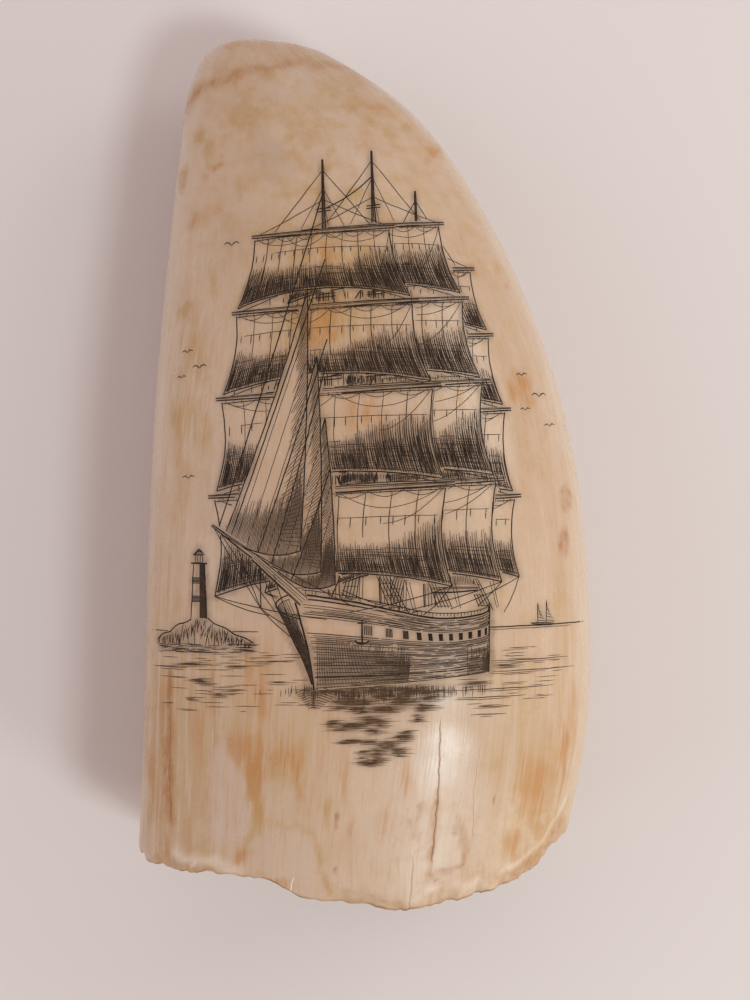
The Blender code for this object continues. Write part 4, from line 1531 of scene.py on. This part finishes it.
def ivory_material(look):
    """Polished ivory with its grain, stains, cracks, rubbed ink, painted bounce light and rim highlights,
    and the chalky broken rim and cavity.
    """
    material, graph, shader = new_material("polished_ivory")
    layers = IvoryLayers(graph.tree, look)
    layers.lay_ground()
    layers.lay_stains()
    layers.lay_patches_and_lines()
    layers.lay_breaks()
    bump = graph.node("ShaderNodeBump", {"Height": layers.height(), "Strength": 0.25, "Distance": 0.00006})
    graph.give(shader.inputs["Base Color"], layers.colour)
    graph.give(shader.inputs["Roughness"], layers.roughness())
    graph.give(shader.inputs["Normal"], bump.outputs[0])
    shader.inputs["Subsurface Weight"].default_value = 0.18
    shader.inputs["Subsurface Radius"].default_value = (1, 0.55, 0.3)
    shader.inputs["Subsurface Scale"].default_value = 0.002
    shader.inputs["IOR"].default_value = 1.54
    return material


def ink_material(look):
    """Ink rubbed into the needle's grooves: black where it took well, and worn to brown elsewhere."""
    material, graph, shader = new_material("rubbed_ink")
    place = graph.node("ShaderNodeTexCoord").outputs["Object"]
    worn = graph.group(mottling, vector=place, size=0.0012, low=0.4, high=0.75)
    fill = graph.math("SUBTRACT", graph.mark("load"), graph.times(worn, 0.18), use_clamp=True)
    graph.give(shader.inputs["Base Color"], graph.blend(fill, look.worn, look.ink))
    graph.give(shader.inputs["Roughness"], graph.lerp(worn, 0.42, 0.6))
    shader.inputs["Specular IOR Level"].default_value = 0.12
    return material


def floor_material(look):
    """A smooth pale sheet with a faint cast that changes slowly over it, and that fades out far off."""
    material, graph, shader = new_material("floor")
    place = graph.node("ShaderNodeTexCoord").outputs["Object"]
    broad = graph.group(mottling, vector=place, size=0.25, low=0.3, high=0.7, detail=1.0)
    shaded = [FLOOR_CAST * part for part in look.floor]
    graph.give(shader.inputs["Base Color"], graph.blend(broad, look.floor, shaded))
    graph.give(shader.inputs["Roughness"], graph.lerp(broad, 0.78, 0.85))
    away = graph.node("ShaderNodeVectorMath", {0: place}, operation="LENGTH").outputs["Value"]
    graph.give(shader.inputs["Alpha"], graph.step(away, look.clear, look.solid))
    return material


# ---------------------------------------------------------------- geometry trees


def close_tree(graph, geometry, material, result):
    """Ends a geometry tree: its instances made real, and its material set."""
    realized = graph.geometry("RealizeInstances", geometry)
    graph.give(result, graph.geometry("SetMaterial", realized, {"Material": material}))
    return graph.tree


def relief_tree(material):
    """Scraped flutes, growth rings and pits on the outside of the tooth."""
    sizes = ("Flute Depth", "Flute Width", "Ring Height", "Ring Spacing", "Pit Depth", "Seed")
    inputs = {"Geometry": "Geometry", **dict.fromkeys(sizes, 0.0)}
    graph, given, result = new_group("tooth_relief", "GeometryNodeTree", inputs, ("Geometry", "Geometry"))
    noise = functools.partial(graph.noise, W=given["Seed"])
    grain = graph.attribute("grain", "FLOAT_VECTOR")
    x, y, _ = graph.node("ShaderNodeSeparateXYZ", {0: grain}).outputs
    stretched = graph.vector("MULTIPLY", grain, (1, 0.09, 1))
    flutes = graph.minus(noise(stretched, graph.math("DIVIDE", 1.0, given["Flute Width"]), 1.0), 0.5)
    run = graph.plus(y, graph.times(x, x, 0.01), graph.times(noise(grain, 0.05, 2.0), 14.0))
    turns = graph.math("DIVIDE", run, given["Ring Spacing"])
    rings = graph.math("SINE", graph.times(turns, 2 * math.pi))
    pits = graph.step(noise(grain, 0.7, 1.0), 0.62, 0.85)
    pits = graph.minus(pits, graph.times(pits, graph.attribute("flank")))
    height = graph.times(flutes, graph.times(given["Flute Depth"], 2.0))
    height = graph.plus(height, graph.times(rings, given["Ring Height"]))
    height = graph.minus(height, graph.times(pits, given["Pit Depth"]))
    height = graph.times(height, graph.attribute("outside"))
    height = graph.minus(height, graph.times(height, graph.attribute("broken")))
    offset = {"Offset": graph.scaled(graph.node("GeometryNodeInputNormal").outputs[0], height)}
    moved = graph.geometry("SetPosition", given["Geometry"], offset)
    return close_tree(graph, moved, material, result)


def stroke_tree(material):
    """Drapes flat strokes on the tooth and cuts each as a narrow groove filled level with ink."""
    inputs = {"Strokes": "Geometry", "Tooth": "Object", "Width Scale": 1.0, "Depth Scale": 1.0, "Lift": 0.0}
    graph, given, result = new_group("draped_strokes", "GeometryNodeTree", inputs, ("Geometry", "Geometry"))
    tooth = graph.node("GeometryNodeObjectInfo", {"Object": given["Tooth"]}).outputs["Geometry"]
    down = {"Target Geometry": tooth, "Ray Direction": (0, 0, -1), "Ray Length": 1.0}
    hit = graph.node("GeometryNodeRaycast", down).outputs
    paths = graph.geometry("MeshToCurve", given["Strokes"])
    paths = graph.geometry("DeleteGeometry", paths, {"Selection": graph.minus(1.0, hit["Is Hit"])})
    normal = {"Name": "surface", "Value": hit["Hit Normal"]}
    paths = graph.geometry("StoreNamedAttribute", paths, normal, data_type="FLOAT_VECTOR")
    surface = graph.attribute("surface", "FLOAT_VECTOR")
    place = {"Position": hit["Hit Position"], "Offset": graph.scaled(surface, given["Lift"])}
    paths = graph.geometry("SetPosition", paths, place)
    paths = graph.geometry("SetCurveNormal", paths, {"Normal": surface}, mode="FREE")
    corner = graph.node("GeometryNodeCurvePrimitiveCircle", {"Resolution": 3, "Radius": 1.0}).outputs[0]
    size = graph.combined(given["Depth Scale"], 2 / math.sqrt(3), 1.0)
    turn = {"Rotation": (0, 0, math.pi), "Scale": size}
    groove = graph.geometry("Transform", corner, turn)
    top = {"Translation": graph.combined(graph.times(given["Depth Scale"], -0.5))}
    level = graph.geometry("Transform", groove, top)
    width = graph.times(graph.attribute("half_width"), given["Width Scale"])
    swept = {"Profile Curve": level, "Scale": width, "Fill Caps": True}
    return close_tree(graph, graph.geometry("CurveToMesh", paths, swept), material, result)


def grown(obj, tree, **settings):
    """Runs a geometry tree on an object, with its inputs by name, and leaves the plain mesh."""
    modifier = obj.modifiers.new(tree.name, "NODES")
    modifier.node_group = tree
    for item in tree.interface.items_tree:
        name = item.name.lower().replace(" ", "_")
        if item.in_out == "INPUT" and name in settings:
            modifier[item.identifier] = settings[name]
    graph = bpy.context.evaluated_depsgraph_get()
    mesh = bpy.data.meshes.new_from_object(obj.evaluated_get(graph), depsgraph=graph)
    obj.modifiers.remove(modifier)
    obj.data = mesh
    mesh.name = obj.name
    return mesh


def new_object(name, data):
    """An object of the scene, at the origin."""
    obj = bpy.data.objects.new(name, data)
    bpy.context.scene.collection.objects.link(obj)
    return obj


def add_mark(mesh, name, values):
    """Stores a value, or a vector, for each vertex."""
    kind, key = ("FLOAT_VECTOR", "vector") if values.ndim == 2 else ("FLOAT", "value")
    mesh.attributes.new(name, kind, "POINT").data.foreach_set(key, values.astype(np.float32).ravel())


# ---------------------------------------------------------------- settings


def number_setting(name, description, number, **limits):
    return FloatProperty(name=name, description=description, default=number, **{"min": 0.0, **limits})


def length_setting(name, description, millimetres):
    return number_setting(name, description, millimetres * MM, unit="LENGTH")


def power_setting(name, lamp, watts):
    return number_setting(name, f"Power of the {lamp}, in W", watts)


def seed_setting(description, seed):
    return IntProperty(name="Seed", description=description, default=seed)


def colour_setting(name, description, colour):
    kind = {"subtype": "COLOR", "min": 0.0, "max": 1.0}
    return FloatVectorProperty(name=name, description=description, default=colour, **kind)


class ToothSurface(PropertyGroup):
    """Relief of the polished outside."""

    flute_depth: length_setting("Flute Depth", "Depth of the lengthwise scraped flutes", 0.05)
    flute_width: number_setting("Flute Width", "Width of a scraped flute, in mm", 6.5, min=0.1)
    ring_height: length_setting("Ring Height", "Height of the growth rings", 0.012)
    ring_spacing: number_setting("Ring Spacing", "From ring to ring, in mm", 5.5, min=0.1)
    pit_depth: length_setting("Pit Depth", "Depth of the small pits", 0.018)
    seed: seed_setting("Which set of flutes and pits is made", 4)


class IvoryLook(PropertyGroup):
    """Colours of the ivory and what has stained it."""

    ivory: colour_setting("Ivory", "The polished ground", (0.525, 0.365, 0.238))
    cream: colour_setting("Cream", "The lighter lengthwise streaks", (0.6, 0.455, 0.33))
    # Painted bounce light: the colour that makes the sides of the face paler.
    edge: colour_setting("Edge", "The paler sides of the face", (0.635, 0.51, 0.395))
    blush: colour_setting("Blush", "The pinkish clouds", (0.525, 0.35, 0.248))
    grey: colour_setting("Grey", "The greyish clouds near the tip", (0.45, 0.335, 0.25))
    orange: colour_setting("Orange", "The orange streaks", (0.46, 0.215, 0.065))
    ochre: colour_setting("Ochre", "The yellow mottling", (0.465, 0.29, 0.115))
    band: colour_setting("Growth Band", "The brown growth bands and stained lines", (0.4, 0.185, 0.055))
    lavender: colour_setting("Lavender", "The pale patches and hairlines", (0.55, 0.405, 0.315))
    spot: colour_setting("Spot", "The small orange-brown spots", (0.36, 0.15, 0.05))
    ink_stain: colour_setting("Ink Stain", "Ink rubbed into the surface", (0.13, 0.072, 0.035))
    broken: colour_setting("Broken Edge", "The broken rim", (0.5, 0.335, 0.2))
    broken_dark: colour_setting("Broken Edge Dirt", "Dirt in the broken rim", (0.36, 0.22, 0.11))
    cavity: colour_setting("Cavity", "The wall of the pulp cavity", (0.45, 0.29, 0.165))
    cavity_dark: colour_setting("Cavity Dirt", "Dirt in the pulp cavity", (0.25, 0.14, 0.07))
    crack: colour_setting("Crack", "The dirt in a drying crack", (0.17, 0.064, 0.018))
    # Also the colour of the painted highlights along the rim.
    fresh: colour_setting("Fresh Nick", "Ivory laid bare by a nick", (0.85, 0.78, 0.68))
    ink_smear: number_setting("Ink Smear", "Strength of the ink rubbed in", 0.6)
    polish: number_setting("Polish", "Roughness of the polished face", 0.235, max=1.0)


class EngravingLook(PropertyGroup):
    """Strokes and ink of the picture."""

    ink: colour_setting("Ink", "Ink that took well", (0.016, 0.011, 0.009))
    worn: colour_setting("Worn Ink", "Ink that has worn thin", (0.2, 0.11, 0.055))
    width_scale: number_setting("Stroke Width", "Scales every stroke's width", 1.02, min=0.1)
    depth_scale: number_setting("Stroke Depth", "Scales every groove's depth", 0.8, min=0.1)
    lift: length_setting("Lift", "How proud the ink stands of the ivory", 0.012)
    seed: seed_setting("Which hand engraves the picture", 11)


class StageLook(PropertyGroup):
    """Floor, light and camera."""

    floor: colour_setting("Floor", "The pale floor", (0.72, 0.66, 0.64))
    solid: number_setting("Solid", "How far out the floor is solid", 0.16, unit="LENGTH")
    clear: number_setting("Clear", "Where the floor has faded out", 0.52, unit="LENGTH")
    surroundings: colour_setting("Surroundings", "The light from all round", (1, 0.76, 0.68))
    fill: number_setting("Fill", "Strength of the light from all round", 0.49)
    key: power_setting("Key", "high lamp that gleams on the face", 4.6)
    window: power_setting("Window", "low side light", 4.5)
    side: power_setting("Side", "light from beyond the tip's side", 2.4)
    low: power_setting("Low", "lowest side light", 1.0)
    bounce: power_setting("Bounce", "wide soft light opposite", 7.6)
    back: power_setting("Back", "wide soft light beyond the tip", 4.6)
    camera_height: length_setting("Camera Height", "Height of the camera over the floor", 400.0)


FLOOR_SIZE = 6.0
FLOOR_CAST = 0.985  # how bright the floor's faint patches are beside the rest of it
CAMERA_OFFSET = (1.65, -6.3)  # X and Y of the camera, in mm
LENS = 85.0
# Each lamp's setting for its power, its place, the side of its square in metres, and its colour.
LAMPS = (
    ("key", (0.505, -0.355, 1.11), 0.25, (0.8, 0.96, 1)),
    ("window", (0.92, -0.65, 0.41), 0.3, (0.94, 1, 0.92)),
    ("side", (0.85, 0.49, 0.69), 0.5, (0.95, 1, 1)),
    ("low", (1.16, 0, 0.31), 0.5, (1, 1, 1)),
    ("bounce", (-1.4, 0, 0.8), 1.5, (0.8, 0.88, 1)),
    ("back", (0.2, 1.5, 0.8), 1.5, (0.6, 0.8, 1)),
)


# ---------------------------------------------------------------- operators


def tooth_marks(loft, points, seed):
    """Every mark of the tooth's surface by name: what each point is, what has stained it, and where light is
    painted.
    """
    marks = {}
    for name, rows in loft.marks.items():
        marks[name] = np.concatenate([*rows, rows[0][:1], rows[-1][:1]])
    face = marks["face"]
    for name, stains, elsewhere in (("orange", ORANGE_STAINS, 0.25), ("ochre", OCHRE_STAINS, 0.2)):
        marks[name] = stain_field(points, stains) * face + elsewhere * (1 - face)
    for name, stains in (("pale_stain", PALE_STAINS_AND_PAINTED_LIGHT), ("grey", GREY_STAINS)):
        marks[name] = stain_field(points, stains) * face
    for name, lines in (("pale_line", RIM_HIGHLIGHT_LINES), ("brown", BROWN_LINES), ("yellow", YELLOW_LINES)):
        marks[name] = line_field(points[:, :2], lines) * face
    marks["spot"] = stain_field(points, SPOTS, SPOT_WANDER) * face
    marks["patch"] = patch_field(points, PALE_PATCHES) * face
    marks["tip"] = smooth_step(*TIP_LOOK_ENDS, points[:, 1])
    across, along = (smooth_step(*ends, points[:, k]) for k, ends in enumerate(SMEARED_ENDS))
    marks["smeared"] = across * along * face
    marks["ink"] = rubbed_ink(points, engraved_picture(seed)) * (face > 0.99)
    marks["grain"] = grain_coordinates(points)
    return marks


class MakeTooth(Operator):
    """Makes the fine surface of the tooth, with its relief, stains and broken rim"""

    bl_idname = "scrimshaw.make_tooth"
    bl_label = "Make Tooth"

    def execute(self, context):
        scene = context.scene
        loft = ToothLoft()
        angles = column_angles()
        outer_rings(loft, angles)
        cavity_end = inner_rings(loft, angles)
        tip = sections(np.array([1.0]))[0][0]
        points = np.concatenate([*loft.rings, [tip, cavity_end]])
        mesh = bpy.data.meshes.new("tooth_surface")
        mesh.from_pydata((points * MM).tolist(), [], loft_faces(len(loft.rings)))
        if mesh.validate():
            raise RuntimeError("the tooth's surface isn't a clean mesh")
        for name, values in tooth_marks(loft, points, scene.scrimshaw_engraving.seed).items():
            add_mark(mesh, name, values)
        mesh.shade_smooth()
        tooth = new_object("tooth_surface", mesh)
        surface = scene.scrimshaw_surface
        sizes = {name: float(getattr(surface, name)) for name in surface.__annotations__}
        grown(tooth, relief_tree(ivory_material(scene.scrimshaw_ivory)), **sizes)
        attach(tooth, "root")
        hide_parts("tooth")
        return {"FINISHED"}


class EngravePicture(Operator):
    """Engraves the ship, the sea, the islet and the gulls on the face of the tooth"""

    bl_idname = "scrimshaw.engrave_picture"
    bl_label = "Engrave Picture"

    GROUPS = ("sails", "rigging", "hull", "sea", "shore", "gulls")

    def execute(self, context):
        look = context.scene.scrimshaw_engraving
        tooth = bpy.data.objects.get("tooth_surface")
        if tooth is None:
            raise RuntimeError("make the tooth before its picture")
        tree = stroke_tree(ink_material(look))
        strokes = engraved_picture(look.seed)
        sizes = {"width_scale": look.width_scale * MM, "depth_scale": look.depth_scale, "lift": look.lift}
        for group in self.GROUPS:
            name = f"engraved_{group}"
            wanted = [stroke for stroke in strokes if stroke.group == group]
            piece = new_object(name, stroke_paths(name, wanted))
            mesh = grown(piece, tree, tooth=tooth, **sizes)
            if not mesh.polygons:
                raise RuntimeError(f"{name} has no strokes on the tooth")
            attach(piece, "root")
        return {"FINISHED"}


def stroke_paths(name, strokes):
    """Strokes as chains of edges above the tooth, thin at their ends, with the ink that each took."""
    points, edges, widths, loads = [], [], [], []
    for stroke in strokes:
        count = len(stroke.points)
        start = len(points)
        edges += [(start + k, start + k + 1) for k in range(count - 1)]
        points += [(x * MM, y * MM, 2 * HIGH.z) for x, y in stroke.points]
        from_end = np.minimum(np.arange(count), np.arange(count)[::-1]) / max(1, (count - 1) / 2)
        widths += list(stroke.half_width * (1 - stroke.taper * (1 - from_end) ** 2))
        loads += [stroke.load] * count
    mesh = bpy.data.meshes.new(name)
    mesh.from_pydata(points, edges, [])
    add_mark(mesh, "half_width", np.array(widths))
    add_mark(mesh, "load", np.array(loads))
    return mesh


def add_lamp(name, place, size, colour, power):
    """A square lamp of the given side, turned to the tooth."""
    lamp = bpy.data.lights.new(name, "AREA")
    lamp.shape = "SQUARE"
    lamp.size = size
    lamp.color = colour
    lamp.energy = power
    obj = new_object(name, lamp)
    obj.location = place
    obj.rotation_euler = (Vector((0, 0, HIGH.z / 2)) - obj.location).to_track_quat("-Z", "Y").to_euler()


class SetStage(Operator):
    """Sets the floor, the soft light and the camera over the tooth"""

    bl_idname = "scrimshaw.set_stage"
    bl_label = "Set Stage"

    def execute(self, context):
        scene, look = context.scene, context.scene.scrimshaw_stage
        bpy.ops.mesh.primitive_plane_add(size=FLOOR_SIZE)
        floor = context.object
        floor.name = "floor"
        floor.data.materials.append(floor_material(look))
        floor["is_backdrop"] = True
        for name, place, size, colour in LAMPS:
            add_lamp(name, place, size, colour, getattr(look, name))
        world = bpy.data.worlds.new("surroundings")
        world.use_nodes = True
        background = world.node_tree.nodes["Background"]
        background.inputs["Color"].default_value = rgba(look.surroundings)
        background.inputs["Strength"].default_value = look.fill
        scene.world = world
        camera = new_object("camera", bpy.data.cameras.new("camera"))
        camera.data.lens = LENS
        camera.location = (*(MM * offset for offset in CAMERA_OFFSET), look.camera_height)
        scene.camera = camera
        scene.view_settings.view_transform = "Standard"
        return {"FINISHED"}


class ScrimshawPanel(Panel):
    """Lists the steps that make the tooth, and their settings"""

    bl_idname = "VIEW3D_PT_scrimshaw"
    bl_label = "Scrimshaw Tooth"
    bl_space_type = "VIEW_3D"
    bl_region_type = "UI"
    bl_category = "Scrimshaw"

    def draw(self, context):
        for operator, settings in STEPS:
            box = self.layout.box()
            for name in settings:
                group = getattr(context.scene, name)
                for setting in group.__annotations__:
                    box.prop(group, setting)
            box.operator(operator.bl_idname)


SETTINGS = {
    "scrimshaw_surface": ToothSurface,
    "scrimshaw_ivory": IvoryLook,
    "scrimshaw_engraving": EngravingLook,
    "scrimshaw_stage": StageLook,
}
STEPS = (
    (MakeTooth, ("scrimshaw_surface", "scrimshaw_ivory")),
    (EngravePicture, ("scrimshaw_engraving",)),
    (SetStage, ("scrimshaw_stage",)),
)
CLASSES = (*SETTINGS.values(), *(operator for operator, _ in STEPS), ScrimshawPanel)


def register():
    for cls in CLASSES:
        bpy.utils.register_class(cls)
    for name, cls in SETTINGS.items():
        setattr(bpy.types.Scene, name, PointerProperty(type=cls))


def unregister():
    for name in SETTINGS:
        delattr(bpy.types.Scene, name)
    for cls in reversed(CLASSES):
        bpy.utils.unregister_class(cls)


def main():
    register()
    bpy.ops.scrimshaw.make_tooth()
    bpy.ops.scrimshaw.engrave_picture()
    bpy.ops.scrimshaw.set_stage()
    boxes = {"cad": cad_box, "visual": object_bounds()}
    {name: [list(map(float, corner)) for corner in box] for name, box in boxes.items()}


if __name__ == "__main__":
    main()
